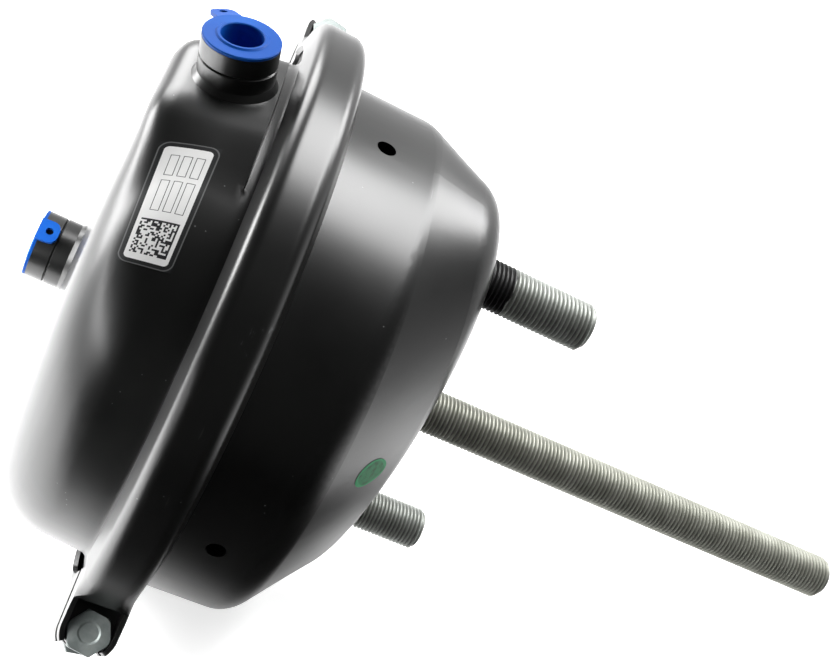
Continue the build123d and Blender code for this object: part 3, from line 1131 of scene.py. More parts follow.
@dataclass
class MountingStud:
    """One headed stud: its thread stands out of the mounting face."""

    node: str
    painted_to: float
    size: Threaded = Threaded()
    face_gap: float = 0.6 * MM
    head_thick: float = 5.0 * MM
    head_edge: float = 0.5 * MM
    facets: int = 64

    def build(self) -> bpy.types.Object:
        """Makes the stud from its CAD node's box.

        Returns:
            The stud's object, riding on the chamber.
        """
        low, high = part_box(self.node)
        centre = (low + high) / 2
        head_r = (high.z - low.z) / 2
        head_end = low.x + self.head_thick
        crest = self.size.crest_r
        blank = [(low.x, 0), (low.x, head_r - self.head_edge), (low.x + self.head_edge, head_r)]
        blank += [(head_end, head_r), (head_end, crest), (self.face_gap, crest)]
        blank.append((self.face_gap, crest - self.size.pitch))
        shape = lathe(blank, self.facets)
        thread = Thread(self.face_gap, high.x, crest, self.size.pitch)
        thread.add_to(shape)
        bmesh.ops.translate(shape, verts=shape.verts, vec=(0, 0, centre.z))
        plate = ZincPlate(
            f"{self.node}_plate",
            axis=(0.0, centre.z),
            root_r=thread.root_r,
            crest_r=crest,
            painted_to=self.painted_to,
        )
        piece = finish_mesh(shape, f"{self.node}_threaded", plate)
        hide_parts(self.node)
        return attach(piece, "chamber")


@dataclass
class PushRod:
    """The rod's foot, its plain shank and its long thread."""

    size: Threaded = Threaded()
    shank_r: float = 7.5 * MM
    thread_start: float = 4.0 * MM
    foot_thick: float = 5.0 * MM
    foot_edge: float = 2.0 * MM
    foot_r: float = 13.0 * MM
    facets: int = 64

    def build(self) -> bpy.types.Object:
        """Makes the rod from its CAD node's box.

        Returns:
            The rod's object, riding on the rod body.
        """
        low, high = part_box("pushrod")
        blank = [(low.x, 0), (low.x, self.foot_r), (low.x + self.foot_edge, self.foot_r)]
        blank += [(low.x + self.foot_thick, self.shank_r), (self.thread_start, self.shank_r)]
        blank.append((self.thread_start, self.shank_r - self.size.pitch))
        shape = lathe(blank, self.facets)
        thread = Thread(self.thread_start, high.x, self.size.crest_r, self.size.pitch)
        thread.add_to(shape)
        plate = ZincPlate(
            "pushrod_plate",
            root_r=thread.root_r,
            crest_r=self.size.crest_r,
            light=(0.47, 0.475, 0.42),
            dull=(0.33, 0.335, 0.285),
        )
        piece = finish_mesh(shape, "pushrod_threaded", plate)
        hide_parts("pushrod")
        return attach(piece, "rod")


@dataclass(frozen=True)
class Port:
    """Where an air port stands: the middle of its foot, its own way out and a way across."""

    name: str
    foot: Vector
    normal: Vector
    across: Vector

    @classmethod
    def side(cls) -> "Port":
        """The port on the wall's pad, which leans back.

        Returns:
            The side port.
        """
        sine, cosine = math.sin(LAYOUT.port_tilt), math.cos(LAYOUT.port_tilt)
        foot = Vector(LAYOUT.side_port)
        return cls("side_port", foot, Vector((-sine, 0, cosine)), Vector((cosine, 0, sine)))

    @classmethod
    def rear(cls) -> "Port":
        """The port in the middle of the back."""
        return cls("rear_port", Vector(LAYOUT.rear_port), Vector((-1, 0, 0)), Vector((0, 0, 1)))


@dataclass
class Weld:
    """A rippled weld bead round the foot of a port boss."""

    port: Port
    ring_r: float = 11.1 * MM
    bead_r: float = 0.6 * MM
    sides: int = 10
    ripples: int = 42
    ripple: float = 0.05
    ripple_steps: int = 4

    def build(self, finish: Finish) -> bpy.types.Object:
        """Spins the bead's section round the boss and ripples it.

        Args:
            finish: the paint over the weld.

        Returns:
            The bead's object, riding on the chamber.
        """
        shape = bmesh.new()
        upright = Matrix.Rotation(math.pi / 2, 4, "X")
        bmesh.ops.create_circle(
            shape, cap_ends=False, segments=self.sides, radius=self.bead_r, matrix=upright
        )
        move(shape, Matrix.Translation((self.ring_r, 0, 0)))
        turn(shape, whole(shape), self.ripples * self.ripple_steps, axis=(0.0, 0.0, 1.0))
        for vert in shape.verts:
            radial = Vector((vert.co.x, vert.co.y, 0)).normalized() * self.ring_r
            wave = math.sin(self.ripples * math.atan2(vert.co.y, vert.co.x))
            vert.co = radial + (vert.co - radial) * (1 + self.ripple * wave)
        face_outwards(shape)
        upwards = self.port.normal.to_track_quat("Z", "Y").to_matrix().to_4x4()
        move(shape, Matrix.Translation(self.port.foot) @ upwards)
        piece = finish_mesh(shape, f"{self.port.name}_weld", finish, sharp=60.0)
        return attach(piece, "chamber")


@dataclass
class PortPlug:
    """A push-in shipping plug: a blind sleeve with a lip, a flange and a pull tab."""

    node: str
    body: str
    port: Port
    turn: float
    bend: float
    tab_foot: float
    tab_length: float
    flange_r: float = 11.0 * MM
    boss_top: float = 12.5 * MM
    sleeve_r: float = 7.15 * MM
    hollow_r: float = 6.0 * MM
    sleeve_foot: float = 3.5 * MM
    top: float = 13.98 * MM
    lip: float = 0.45 * MM
    tab_width: float = 7.2 * MM
    tab_thick: float = 1.2 * MM
    tab_hole_r: float = 1.2 * MM
    tab_hole_inset: float = 2.9 * MM
    tab_corner: float = 2.6 * MM
    web_overlap: float = 1.5 * MM
    web_share: float = 0.8
    floor_thick: float = 1.2 * MM
    soft: float = 0.25 * MM
    facets: int = 72

    def build(self, finish: Finish) -> bpy.types.Object:
        """Spins the plug and welds its tab on.

        Args:
            finish: the plastic it is moulded in.

        Returns:
            The plug's object, riding on its own body.
        """
        soft, foot, flange = self.soft, self.sleeve_foot, self.top - self.lip
        floor = foot + self.floor_thick
        points = [(foot, 0), (foot, self.sleeve_r - 2 * soft)]
        points += [(foot + 2 * soft, self.sleeve_r), (self.boss_top, self.sleeve_r)]
        points += [(self.boss_top, self.flange_r - soft / 2), (flange - soft, self.flange_r)]
        points += [(flange, self.flange_r - soft), (flange, self.sleeve_r + soft)]
        points += [(self.top, self.sleeve_r - soft), (self.top, self.hollow_r + soft)]
        points += [(self.top - soft, self.hollow_r), (floor, self.hollow_r), (floor, 0)]
        shape = lathe(points, self.facets)
        move(shape, Matrix.Rotation(-math.pi / 2, 4, "Y"))
        join(shape, self._tab(flange))
        across, normal = self.port.across, self.port.normal
        move(shape, axes_at(self.port.foot, across, normal.cross(across), normal))
        piece = finish_mesh(shape, f"{self.node}_moulded", finish)
        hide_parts(self.node)
        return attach(piece, self.body)

    def _tab(self, flange: float) -> bmesh.types.BMesh:
        """The pull tab with its hole, bent off the flange.

        Args:
            flange: height of the flange's top over the port's foot.

        Returns:
            The tab and, where it hangs clear of the flange, its web.
        """
        shape = bmesh.new()
        length, width = self.tab_length, self.tab_width
        plate = Matrix.Translation((length / 2, 0, 0)) @ Matrix.Diagonal((length, width, 1, 1))
        bmesh.ops.create_grid(shape, x_segments=1, y_segments=1, size=0.5, matrix=plate)
        free = [vert for vert in shape.verts if vert.co.x > length / 2]
        bevel(shape, free, self.tab_corner, "VERTICES")
        bmesh.ops.delete(shape, geom=shape.faces[:], context="FACES_ONLY")
        hole = Matrix.Translation((length - self.tab_hole_inset, 0, 0))
        bmesh.ops.create_circle(
            shape, cap_ends=False, segments=18, radius=self.tab_hole_r, matrix=hole
        )
        bmesh.ops.bridge_loops(shape, edges=shape.edges[:])
        sheet = bmesh.ops.extrude_face_region(shape, geom=shape.faces[:])["geom"]
        bmesh.ops.translate(shape, verts=vertices(sheet), vec=(0, 0, -self.tab_thick))
        face_outwards(shape)
        place = Matrix.Rotation(self.turn, 4, "Z")
        hinge = place @ Matrix.Translation((self.tab_foot, 0, flange))
        move(shape, hinge @ Matrix.Rotation(-self.bend, 4, "Y"))
        if self.tab_foot > self.flange_r:
            bmesh.ops.create_cube(shape, size=1.0, matrix=place @ self._web(flange))
        return shape

    def _web(self, flange: float) -> Matrix:
        """The unit cube's place as the short web from the flange out to a hanging tab.

        Args:
            flange: height of the flange's top over the port's foot.

        Returns:
            The matrix that places and scales the cube.
        """
        start, end = self.flange_r - self.web_overlap, self.tab_foot
        width, thick = self.web_share * self.tab_width, flange - self.boss_top
        middle = Matrix.Translation(((start + end) / 2, 0, (self.boss_top + flange) / 2))
        return middle @ Matrix.Diagonal((end - start, width, thick, 1))


@dataclass
class Decal:
    """A thin film that follows a painted surface."""

    name: str
    corners: tuple[tuple[float, float], ...]
    grid: tuple[int, int] = (40, 18)
    lift: float = 0.12 * MM
    ray_from: float = 0.2

    def point(self, along: float, across: float) -> tuple[float, float]:
        """Where a place on the film lies, as X and azimuth.

        Args:
            along: 0 to 1 along the film.
            across: 0 to 1 across it.

        Returns:
            X in metres and the azimuth in degrees, from +Z towards -Y.
        """
        first, second, third, fourth = (Vector(corner) for corner in self.corners)
        near = first.lerp(second, across)
        far = fourth.lerp(third, across)
        return tuple(near.lerp(far, along))

    def build(self, surface: BVHTree, finish: Finish, slot: Slot) -> bpy.types.Object:
        """Lays a grid on the surface by rays towards the axis.

        Args:
            surface: the painted surface.
            finish: the film's finish.
            slot: not used.

        Returns:
            The film's object, riding on the chamber.
        """
        shape = bmesh.new()
        columns, rows = self.grid
        bmesh.ops.create_grid(shape, x_segments=columns, y_segments=rows, size=0.5, calc_uvs=True)
        layer = shape.loops.layers.uv.verify()
        for face in shape.faces:
            for loop in face.loops:
                loop[layer].uv = (loop.vert.co.x + 0.5, loop.vert.co.y + 0.5)
        for vert in shape.verts:
            vert.co = self._laid(surface, *self.point(vert.co.x + 0.5, vert.co.y + 0.5))
        face_outwards(shape)
        piece = finish_mesh(shape, self.name, finish)
        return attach(piece, "chamber")

    def _laid(self, surface: BVHTree, x: float, azimuth: float) -> Vector:
        """The point on the surface at an X and azimuth, lifted by the film's thickness.

        Args:
            surface: the painted surface.
            x: X in metres.
            azimuth: the azimuth in degrees.

        Returns:
            The lifted point.
        """
        outward = radial_at(azimuth)
        start = Vector((x, 0, 0)) + outward * self.ray_from
        hit, normal, _, _ = surface.ray_cast(start, -outward)
        return hit + normal * self.lift


@dataclass
class Dot(Decal):
    """A round film."""

    def point(self, along: float, across: float) -> tuple[float, float]:
        """Where a place on the unit square falls when the square is drawn in to a circle.

        Args:
            along: 0 to 1 along the square.
            across: 0 to 1 across it.

        Returns:
            X in metres and the azimuth in degrees.
        """
        u, v = 2 * along - 1, 2 * across - 1
        u, v = u * math.sqrt(1 - v * v / 2), v * math.sqrt(1 - u * u / 2)
        return super().point((u + 1) / 2, (v + 1) / 2)


def smooth_min(first: float, second: float, reach: float) -> float:
    """The smaller of two distances, with the crease between them rounded.

    Args:
        first: one distance.
        second: the other distance.
        reach: how wide the rounding is.

    Returns:
        The blended distance, at most the smaller of the two.
    """
    near = max(reach - abs(first - second), 0.0) / reach
    return min(first, second) - near * near * reach / 4


def smooth_step(value: float, low: float, high: float) -> float:
    """0 below low, 1 above high and smooth in between."""
    share = min(max((value - low) / (high - low), 0.0), 1.0)
    return share * share * (3 - 2 * share)


@dataclass
class PressureShell:
    """The air-side cup, drawn out on one side into the side port's pad."""

    sheet: float = 3.0 * MM
    half_top: float = 16.0 * MM
    slope: float = math.radians(27.0)
    half_foot: float = 29.0 * MM
    side_lean: float = math.radians(62.0)
    front_x: float = -78.1 * MM
    front_edge: float = 0.3 * MM
    back: float = 21.0 * MM
    top_round: float = 2.6 * MM
    side_round: float = 7.0 * MM
    back_round: float = 11.0 * MM
    foot_round: float = 5.0 * MM
    port_r: float = 8.2 * MM
    port_depth: float = 12.0 * MM
    pad_foot: float = 40.0 * MM
    pad_reach: float = 40.0 * MM
    steps: int = 320
    spacing: float = 2.4 * MM
    section_gap: float = 0.05 * MM
    fine: float = 0.01 * MM

    def build(self, node: bpy.types.Object, finish: Finish) -> bpy.types.Object:
        """Revolves the cup's section, draws out the pad and opens the port.

        Args:
            node: the cup's CAD node.
            finish: the paint it wears.

        Returns:
            The shell's object, riding on the chamber.
        """
        shape = self._revolved(node)
        local = self._pad_frame()
        self._draw_pad(shape, local)
        inside_port = []
        for face in shape.faces:
            place = local @ face.calc_center_median()
            if math.hypot(place.x, place.y) < self.port_r and place.z > -self.port_depth:
                inside_port.append(face)
        bmesh.ops.delete(shape, geom=inside_port, context="FACES")
        piece = finish_mesh(shape, "pressure_shell", finish, sharp=40.0)
        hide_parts(node.name)
        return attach(piece, "chamber")

    def _revolved(self, node: bpy.types.Object) -> bmesh.types.BMesh:
        """The plain cup: its section opposite the pad, spun round the axis.

        Args:
            node: the cup's CAD node.

        Returns:
            The closed cup, with no pad.
        """
        shape = merged_copy(node)
        bmesh.ops.bisect_plane(
            shape,
            geom=whole(shape),
            dist=ON_PLANE,
            plane_co=(0, 0, 0),
            plane_no=(0, 1, 0),
            clear_inner=True,
            clear_outer=True,
        )
        upper = [vert for vert in shape.verts if vert.co.z > 0]
        bmesh.ops.delete(shape, geom=upper, context="VERTS")
        merge(shape, self.section_gap)
        for x in (self.front_x - self.front_edge, self.front_x):
            bmesh.ops.bisect_plane(
                shape, geom=whole(shape), dist=ONE_POINT, plane_co=(x, 0, 0), plane_no=(1, 0, 0)
            )
        while long := [edge for edge in shape.edges if edge.calc_length() > self.spacing]:
            bmesh.ops.subdivide_edges(shape, edges=long, cuts=1)
        turn(shape, whole(shape), self.steps)
        merge(shape, self.fine)
        face_outwards(shape)
        return shape

    def _pad_frame(self) -> Matrix:
        """From the part's frame to the pad's own: along it, across it and out of it.

        Returns:
            The matrix into the pad's frame.
        """
        port = Port.side()
        axes = Matrix((port.across, port.normal.cross(port.across), port.normal)).to_4x4()
        return axes @ Matrix.Translation(-port.foot)

    def _draw_pad(self, shape: bmesh.types.BMesh, local: Matrix) -> None:
        """Moves the skin out along its normals to the pad's rounded faces.

        Args:
            shape: the cup.
            local: the matrix into the pad's frame.
        """
        shape.normal_update()
        middle = Vector((LAYOUT.side_port[0], 0, 0))
        for vert in shape.verts:
            if vert.co.z < self.pad_foot or vert.co.x > self.front_x - self.front_edge / 2:
                continue
            outer = vert.normal.dot(vert.co - middle) > 0
            outward = vert.normal if outer else -vert.normal
            level = 0.0 if outer else -self.sheet
            low, high = 0.0, self.pad_reach
            while high - low > self.fine:
                lift = (low + high) / 2
                pad = self._pad_distance(local @ (vert.co + outward * lift))
                if smooth_min(lift + level, pad, self.foot_round) < level:
                    low = lift
                else:
                    high = lift
            if low > 2 * self.fine:
                vert.co += outward * low

    def _pad_distance(self, place: Vector) -> float:
        """Distance out of the pad's rounded faces at a place in the pad's frame.

        Args:
            place: the place, in the pad's frame.

        Returns:
            The distance in metres, below 0 inside the pad.
        """
        side = abs(place.y)
        slope, lean = self.slope, self.side_lean
        foot_z = -(self.half_foot - self.half_top) * math.tan(slope)
        sloping = (side - self.half_top) * math.sin(slope) + place.z * math.cos(slope)
        steep = (side - self.half_foot) * math.sin(lean) + (place.z - foot_z) * math.cos(lean)
        inside = smooth_min(-place.z, -sloping, self.top_round)
        inside = smooth_min(inside, -steep, self.side_round)
        return -smooth_min(inside, place.x + self.back, self.back_round)


@dataclass
class ClampHalf:
    """Half of the clamp: a pressed channel whose ends open out into lugs for the bolts."""

    node: str
    azimuth: float
    crown_r: float = 101.96 * MM
    mouth_r: float = 92.2 * MM
    mouth_half: float = 9.75 * MM
    crown_half: float = 7.07 * MM
    round_r: float = 4.6 * MM
    lean: float = math.radians(15.0)
    lug_half: float = 8.5 * MM
    lug_root: float = 33.0 * MM
    pocket_end: float = 17.8 * MM
    lug_top: float = 114.6 * MM
    lug_step: float = 1.0 * MM
    square_lead: float = 2.0 * MM
    opening: tuple[float, float] = (-29.0 * MM, -16.0 * MM)
    rising: tuple[float, float] = (-18.5 * MM, -10.0 * MM)
    end_x: float = 3.0 * MM
    plate: float = 4.0 * MM
    plate_gap: float = 0.05 * MM
    plate_corner: float = 5.0 * MM
    sheet: float = 1.5 * MM
    seam_gap: float = 0.02 * MM
    grid: tuple[int, int] = (110, 48)
    band_share: float = 0.4
    pocket_half: float = 0.14
    side_rise: float = 0.35
    crown_rise: float = 0.75

    def build(self, finish: Finish) -> bpy.types.Object:
        """Lays both quarters of the band and adds the two end plates.

        Args:
            finish: the paint it wears.

        Returns:
            The half's object, riding on the chamber.
        """
        shape = bmesh.new()
        for end in (0.0, math.pi):
            quarter = self._quarter()
            move(quarter, Matrix.Rotation(end, 4, "X"))
            join(shape, quarter)
        merge(shape, self.seam_gap)
        face_outwards(shape)
        crown = min(shape.faces, key=lambda face: face.calc_center_median().x)
        if crown.normal.x > 0:
            bmesh.ops.reverse_faces(shape, faces=shape.faces)
        bmesh.ops.solidify(shape, geom=shape.faces, thickness=self.sheet)
        for end in (0.0, math.pi):
            plate = self._end_plate()
            move(plate, Matrix.Rotation(end, 4, "X"))
            join(shape, plate)
        tangent, radial = -tangent_at(self.azimuth), radial_at(self.azimuth)
        joint = Vector((LAYOUT.joint_x, 0, 0))
        move(shape, axes_at(joint, tangent, radial, Vector((-1, 0, 0))))
        piece = finish_mesh(shape, f"{self.node}_pressed", finish, sharp=50.0)
        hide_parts(self.node)
        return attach(piece, "chamber")

    def _quarter(self) -> bmesh.types.BMesh:
        """The skin from the half's middle to one split.

        Returns:
            The open skin, with the bolt's pocket cut out.
        """
        shape = bmesh.new()
        stations, samples = self.grid
        bmesh.ops.create_grid(shape, x_segments=stations, y_segments=samples, size=0.5)
        pocket = []
        for face in shape.faces:
            centre = face.calc_center_median()
            depth = self._depth(centre.x + 0.5)
            in_lug = depth is not None and depth > -self.pocket_end
            if in_lug and abs(centre.y) < self.pocket_half:
                pocket.append(face)
        bmesh.ops.delete(shape, geom=pocket, context="FACES")
        for vert in shape.verts:
            vert.co = self._point(vert.co.x + 0.5, 2 * vert.co.y)
        return shape

    def _depth(self, along: float) -> Optional[float]:
        """The place along the tangent in the lug, or None on the plain band.

        Args:
            along: 0 at the half's middle and 1 at the split.

        Returns:
            The place in metres, below 0 and rising to the split, or None.
        """
        if along < self.band_share:
            return None
        share = (along - self.band_share) / (1 - self.band_share)
        return -self.lug_root + share * (self.lug_root - self.end_x)

    def _point(self, along: float, across: float) -> Vector:
        """A point of the outer skin.

        Args:
            along: 0 at the half's middle and 1 at the split.
            across: -1 at one mouth, 0 on the crown's middle and 1 at the other mouth.

        Returns:
            The point along the tangent, out along the radius and along the chamber's axis.
        """
        half, radius = self._band(1 - abs(across))
        depth = self._depth(along)
        root = math.asin(self.lug_root / self.crown_r)
        if depth is None:
            angle = math.pi / 2 + (root - math.pi / 2) * along / self.band_share
            out = Vector((-math.sin(angle), math.cos(angle), 0))
            point = out * radius
        else:
            crown = Vector((depth, math.sqrt(self.crown_r**2 - depth**2), 0))
            square = smooth_step(depth, -self.lug_root, -self.pocket_end - self.square_lead)
            out = crown.normalized().lerp(Vector((0, 1, 0)), square).normalized()
            point = crown + out * (radius - self.crown_r)
            open_out = smooth_step(depth, *self.opening)
            lug_half, lug_y = self._lug(1 - abs(across), depth, crown.y)
            half += (lug_half - half) * open_out
            point.y += (lug_y - point.y) * open_out
        point.z = math.copysign(half, across)
        return point

    def _band(self, rise: float) -> tuple[float, float]:
        """Half width and radius of the channel's outside, from mouth (0) to crown (1).

        Args:
            rise: 0 at the mouth and 1 on the crown's middle.

        Returns:
            The half width and the radius.
        """
        side_top = self.round_r * math.tan((math.pi / 2 - self.lean) / 2)
        flat = self.crown_half - side_top
        if rise < self.side_rise:
            start = self.crown_half + side_top * math.sin(self.lean)
            top_r = self.crown_r - side_top * math.cos(self.lean)
            share = rise / self.side_rise
            return (
                self.mouth_half + (start - self.mouth_half) * share,
                self.mouth_r + (top_r - self.mouth_r) * share,
            )
        if rise < self.crown_rise:
            share = (rise - self.side_rise) / (self.crown_rise - self.side_rise)
            angle = self.lean + (math.pi / 2 - self.lean) * share
            centre_r = self.crown_r - self.round_r
            return flat + self.round_r * math.cos(angle), centre_r + self.round_r * math.sin(angle)
        return flat * (1 - rise) / (1 - self.crown_rise), self.crown_r

    def _lug(self, rise: float, depth: float, crown_y: float) -> tuple[float, float]:
        """Half width and height of the lug's outside, from mouth (0) to the pocket's edge.

        Args:
            rise: 0 at the mouth and 1 on the crown's middle.
            depth: the place along the tangent.
            crown_y: the plain band's height there.

        Returns:
            The half width and the height.
        """
        foot = self.mouth_r - self.lug_step
        top = crown_y + (self.lug_top - crown_y) * smooth_step(depth, *self.rising)
        share = min(rise / self.crown_rise, 1.0)
        height = foot + (top - foot) * share
        past_bolt = max(height - LAYOUT.bolt_r, 0.0)
        half = math.sqrt(self.lug_half**2 - past_bolt**2)
        if rise > self.crown_rise:
            half *= (1 - rise) / (1 - self.crown_rise)
        return half, height

    def _end_plate(self) -> bmesh.types.BMesh:
        """The plate across the lug's end that the bolt pulls on.

        Returns:
            The closed plate.
        """
        shape = bmesh.new()
        low, high = self.mouth_r, self.lug_top - self.lug_step
        half = self.lug_half - self.sheet - self.plate_gap
        place = Matrix.Translation((-self.end_x - self.plate / 2, (low + high) / 2, 0))
        size = Matrix.Diagonal((self.plate, high - low, 2 * half, 1))
        bmesh.ops.create_cube(shape, size=1.0, matrix=place @ size)
        corners = [
            edge
            for edge in shape.edges
            if all(vert.co.y > low + MM for vert in edge.verts)
            and abs(edge.verts[0].co.z - edge.verts[1].co.z) < 1e-6
        ]
        bevel(shape, corners, self.plate_corner, "EDGES")
        return shape


class Chamber:
    """The painted body with its clamp, ports and fasteners."""

    def __init__(self, nodes: dict[str, bpy.types.Object]) -> None:
        """Keeps the CAD nodes and the finishes they wear.

        Args:
            nodes: the CAD nodes by name.
        """
        self.nodes = nodes
        band_scuffs = (
            Scuff(self.on_band(-60.4, 48.0), 9.0 * MM, (500.0, 180.0, 180.0)),
            Scuff(self.on_band(-59.2, 93.0), 8.0 * MM, (420.0, 150.0, 150.0)),
        )
        self.paint = SatinPaint("housing_paint")
        self.band_paint = SatinPaint("band_paint", roughness=0.31, scuffs=band_scuffs)
        self.boss_paint = SatinPaint("boss_paint", deep=(0.004, 0.004, 0.004), roughness=0.3)

    @staticmethod
    def on_band(x: float, azimuth: float, radius: float = 102.0) -> Triple:
        """A place on the clamp band, from millimetres and degrees."""
        angle = math.radians(azimuth)
        return (x * MM, -radius * MM * math.sin(angle), radius * MM * math.cos(angle))

    def build(self) -> None:
        """Dresses the nodes and adds the shell, clamp halves, threads and films."""
        dress(self.nodes["spring_housing"], self.paint)
        shell = PressureShell().build(self.nodes["pressure_housing"], self.paint)
        ClampHalf("front_clamp_half", LAYOUT.lower_joint).build(self.band_paint)
        ClampHalf("rear_clamp_half", LAYOUT.upper_joint).build(self.band_paint)
        for name in ("side_port_boss", "rear_port_boss"):
            dress(self.nodes[name], self.boss_paint)
        zinc = ZincPlate("bolt_plate", light=(0.30, 0.33, 0.32), dull=(0.17, 0.195, 0.19))
        for place, azimuth in (("lower", LAYOUT.lower_joint), ("upper", LAYOUT.upper_joint)):
            head = HexFastener(f"{place}_clamp_bolt", azimuth, 1.0, 4.7 * MM, 7.1 * MM)
            head.build(zinc, shank=24.0 * MM)
            HexFastener(f"{place}_clamp_nut", azimuth, -1.0, 6.4 * MM, 7.1 * MM).build(zinc, 0.0)
        MountingStud("upper_mounting_stud", painted_to=11.0 * MM).build()
        MountingStud("lower_mounting_stud", painted_to=2.0 * MM).build()
        self._films(shell)

    def _films(self, shell: bpy.types.Object) -> None:
        """Lays the label and the green dot.

        Args:
            shell: the pressure housing's dressed shell.
        """
        graph = bpy.context.evaluated_depsgraph_get()
        back = BVHTree.FromObject(shell, graph)
        front = BVHTree.FromObject(self.nodes["spring_housing"], graph)
        label = Decal(
            "label",
            ((-87.3 * MM, 17.8), (-102.8 * MM, 19.6), (-101.3 * MM, 44.2), (-87.3 * MM, 43.0)),
        )
        label.build(back, LabelPrint("label_print"), Slot.PAINT)
        dot = Dot(
            "green_dot",
            ((-16.3 * MM, 62.8), (-7.0 * MM, 62.8), (-7.0 * MM, 72.0), (-16.3 * MM, 72.0)),
            grid=(16, 16),
        )
        dot.build(front, StickerDot("green_film"), Slot.PAINT)


@dataclass
class Diaphragm:
    """The rubber diaphragm between its bead and the push plate; the copy made here does not roll
    with the rod.
    """

    bead_depth: float = 7.0 * MM
    plate_depth: float = 6.0 * MM

    def build(self, node: bpy.types.Object) -> None:
        """Makes a merged copy of the CAD node.

        Args:
            node: the diaphragm's CAD node.
        """
        shape = merged_copy(node)
        piece = finish_mesh(shape, "diaphragm_rolling", ClothRubber("cloth_rubber"))
        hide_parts("diaphragm")
        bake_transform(piece)


@dataclass
class ReturnSpring:
    """The conical coil, swept step by step; it is built at one length and does not shorten with the
    stroke.
    """

    wire_r: float = 2.5 * MM
    wire_sides: int = 12
    small_r: float = 28.0 * MM
    big_r: float = 43.5 * MM
    turns: int = 5
    steps: int = 30

    def build(self) -> None:
        """Makes the coil between the ends of its CAD node's box."""
        low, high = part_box("return_spring")
        shape = self._coil(low.x, high.x)
        steel = OiledSteel("spring_wire", light=(0.10, 0.10, 0.105), dark=(0.04, 0.04, 0.042))
        piece = finish_mesh(shape, "return_spring_coil", steel)
        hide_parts("return_spring")
        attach(piece, "chamber")
        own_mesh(piece)

    def _coil(self, start: float, end: float) -> bmesh.types.BMesh:
        """The wire's ring extruded round the axis, outwards and along.

        Args:
            start: X of the coil's small end.
            end: X of its big end.

        Returns:
            The closed coil.
        """
        count = self.turns * self.steps
        along = (end - start - 2 * self.wire_r) / count
        widening = (self.big_r - self.small_r) / count
        shape = bmesh.new()
        bmesh.ops.create_circle(shape, cap_ends=True, segments=self.wire_sides, radius=self.wire_r)
        move(shape, Matrix.Translation((self.small_r, 0, 0)))
        move(shape, Matrix.Rotation(math.pi / 2, 4, "Y") @ Matrix.Rotation(math.pi / 2, 4, "X"))
        move(shape, Matrix.Translation((start + self.wire_r, 0, 0)))
        edges = shape.edges[:]
        spin = Matrix.Rotation(math.tau / self.steps, 4, "X")
        for _ in range(count):
            made = bmesh.ops.extrude_edge_only(shape, edges=edges)["geom"]
            ring = vertices(made)
            edges = [item for item in made if isinstance(item, bmesh.types.BMEdge)]
            bmesh.ops.transform(shape, matrix=spin, verts=ring)
            middle = sum((vert.co for vert in ring), Vector()) / len(ring)
            outward = Vector((0, middle.y, middle.z)).normalized() * widening
            bmesh.ops.translate(shape, verts=ring, vec=outward + Vector((along, 0, 0)))
        close_ends(shape)
        return shape


class InnerWorks:
    """What lies inside: plate, rod, diaphragm, spring and shield."""

    def __init__(self, nodes: dict[str, bpy.types.Object]) -> None:
        """Keeps the CAD nodes."""
        self.nodes = nodes

    def build(self) -> None:
        """Dresses the rigid pieces and remakes the rod, diaphragm and spring."""
        steel = OiledSteel("oiled_steel")
        dress(self.nodes["stud_plate"], steel)
        dress(self.nodes["push_plate"], steel)
        dress(self.nodes["dust_shield"], Moulding("shield_moulding"))
        PushRod().build()
        Diaphragm().build(self.nodes["diaphragm"])
        ReturnSpring().build()


@dataclass(frozen=True)
class Lamp:
    """A square soft lamp: where it hangs, its side in metres, its watts and what it faces."""

    name: str
    place: Triple
    size: float
    power: float
    target: Triple = (-0.02, 0.0, 0.0)

    def hang(self) -> None:
        """Makes the lamp and turns it to its target."""
        data = bpy.data.lights.new(self.name, "AREA")
        data.shape = "SQUARE"
        data.size = self.size
        data.energy = self.power
        place = Vector(self.place)
        facing = (Vector(self.target) - place).to_track_quat("-Z", "Y").to_matrix().to_4x4()
        add_object(self.name, data).matrix_world = Matrix.Translation(place) @ facing


@dataclass(frozen=True)
class Eye:
    """The camera: its place, its own axes, its lens and its frame's shift."""

    place: Triple = (-0.09724, -0.29472, 0.27356)
    forward: Triple = (0.26650, 0.72041, -0.64030)
    right: Triple = (0.88342, 0.08307, 0.46116)
    up: Triple = (-0.38542, 0.68855, 0.61429)
    lens: float = 51.395
    sensor: float = 36.0
    shift: tuple[float, float] = (-0.02314, 0.06657)
    nearest: float = 0.01

    def build(self) -> None:
        """Makes it the scene's camera."""
        data = bpy.data.cameras.new("camera")
        data.sensor_width = self.sensor
        data.lens = self.lens
        data.shift_x, data.shift_y = self.shift
        data.clip_start = self.nearest
        camera = add_object("camera", data)
        back = -Vector(self.forward)
        camera.matrix_world = axes_at(Vector(self.place), Vector(self.right), Vector(self.up), back)
        bpy.context.scene.camera = camera


@dataclass(frozen=True)
class Surroundings:
    """The world: white behind the object, bright above and behind it and dim in front."""

    front: Triple
    bright_at: float = -0.45
    dim_at: float = 0.3
    dim: float = 0.06
    gain: float = 0.35

    def build(self) -> None:
        """Makes it the scene's world."""
        world = bpy.data.worlds.new("studio")
        world.use_nodes = True
        bpy.context.scene.world = world
        shader = Shader(world.node_tree)
        surround = shader.towards(Vector(self.front)).ease(self.dim_at, self.bright_at)
        white = shader.sees_background(surround)
        level = white + (1.0 - white) * (self.dim + surround * self.gain)
        light = shader.node("ShaderNodeBackground", {}, {"Color": grey(1.0), "Strength": level})
        shader.node("ShaderNodeOutputWorld", {}, {"Surface": light})


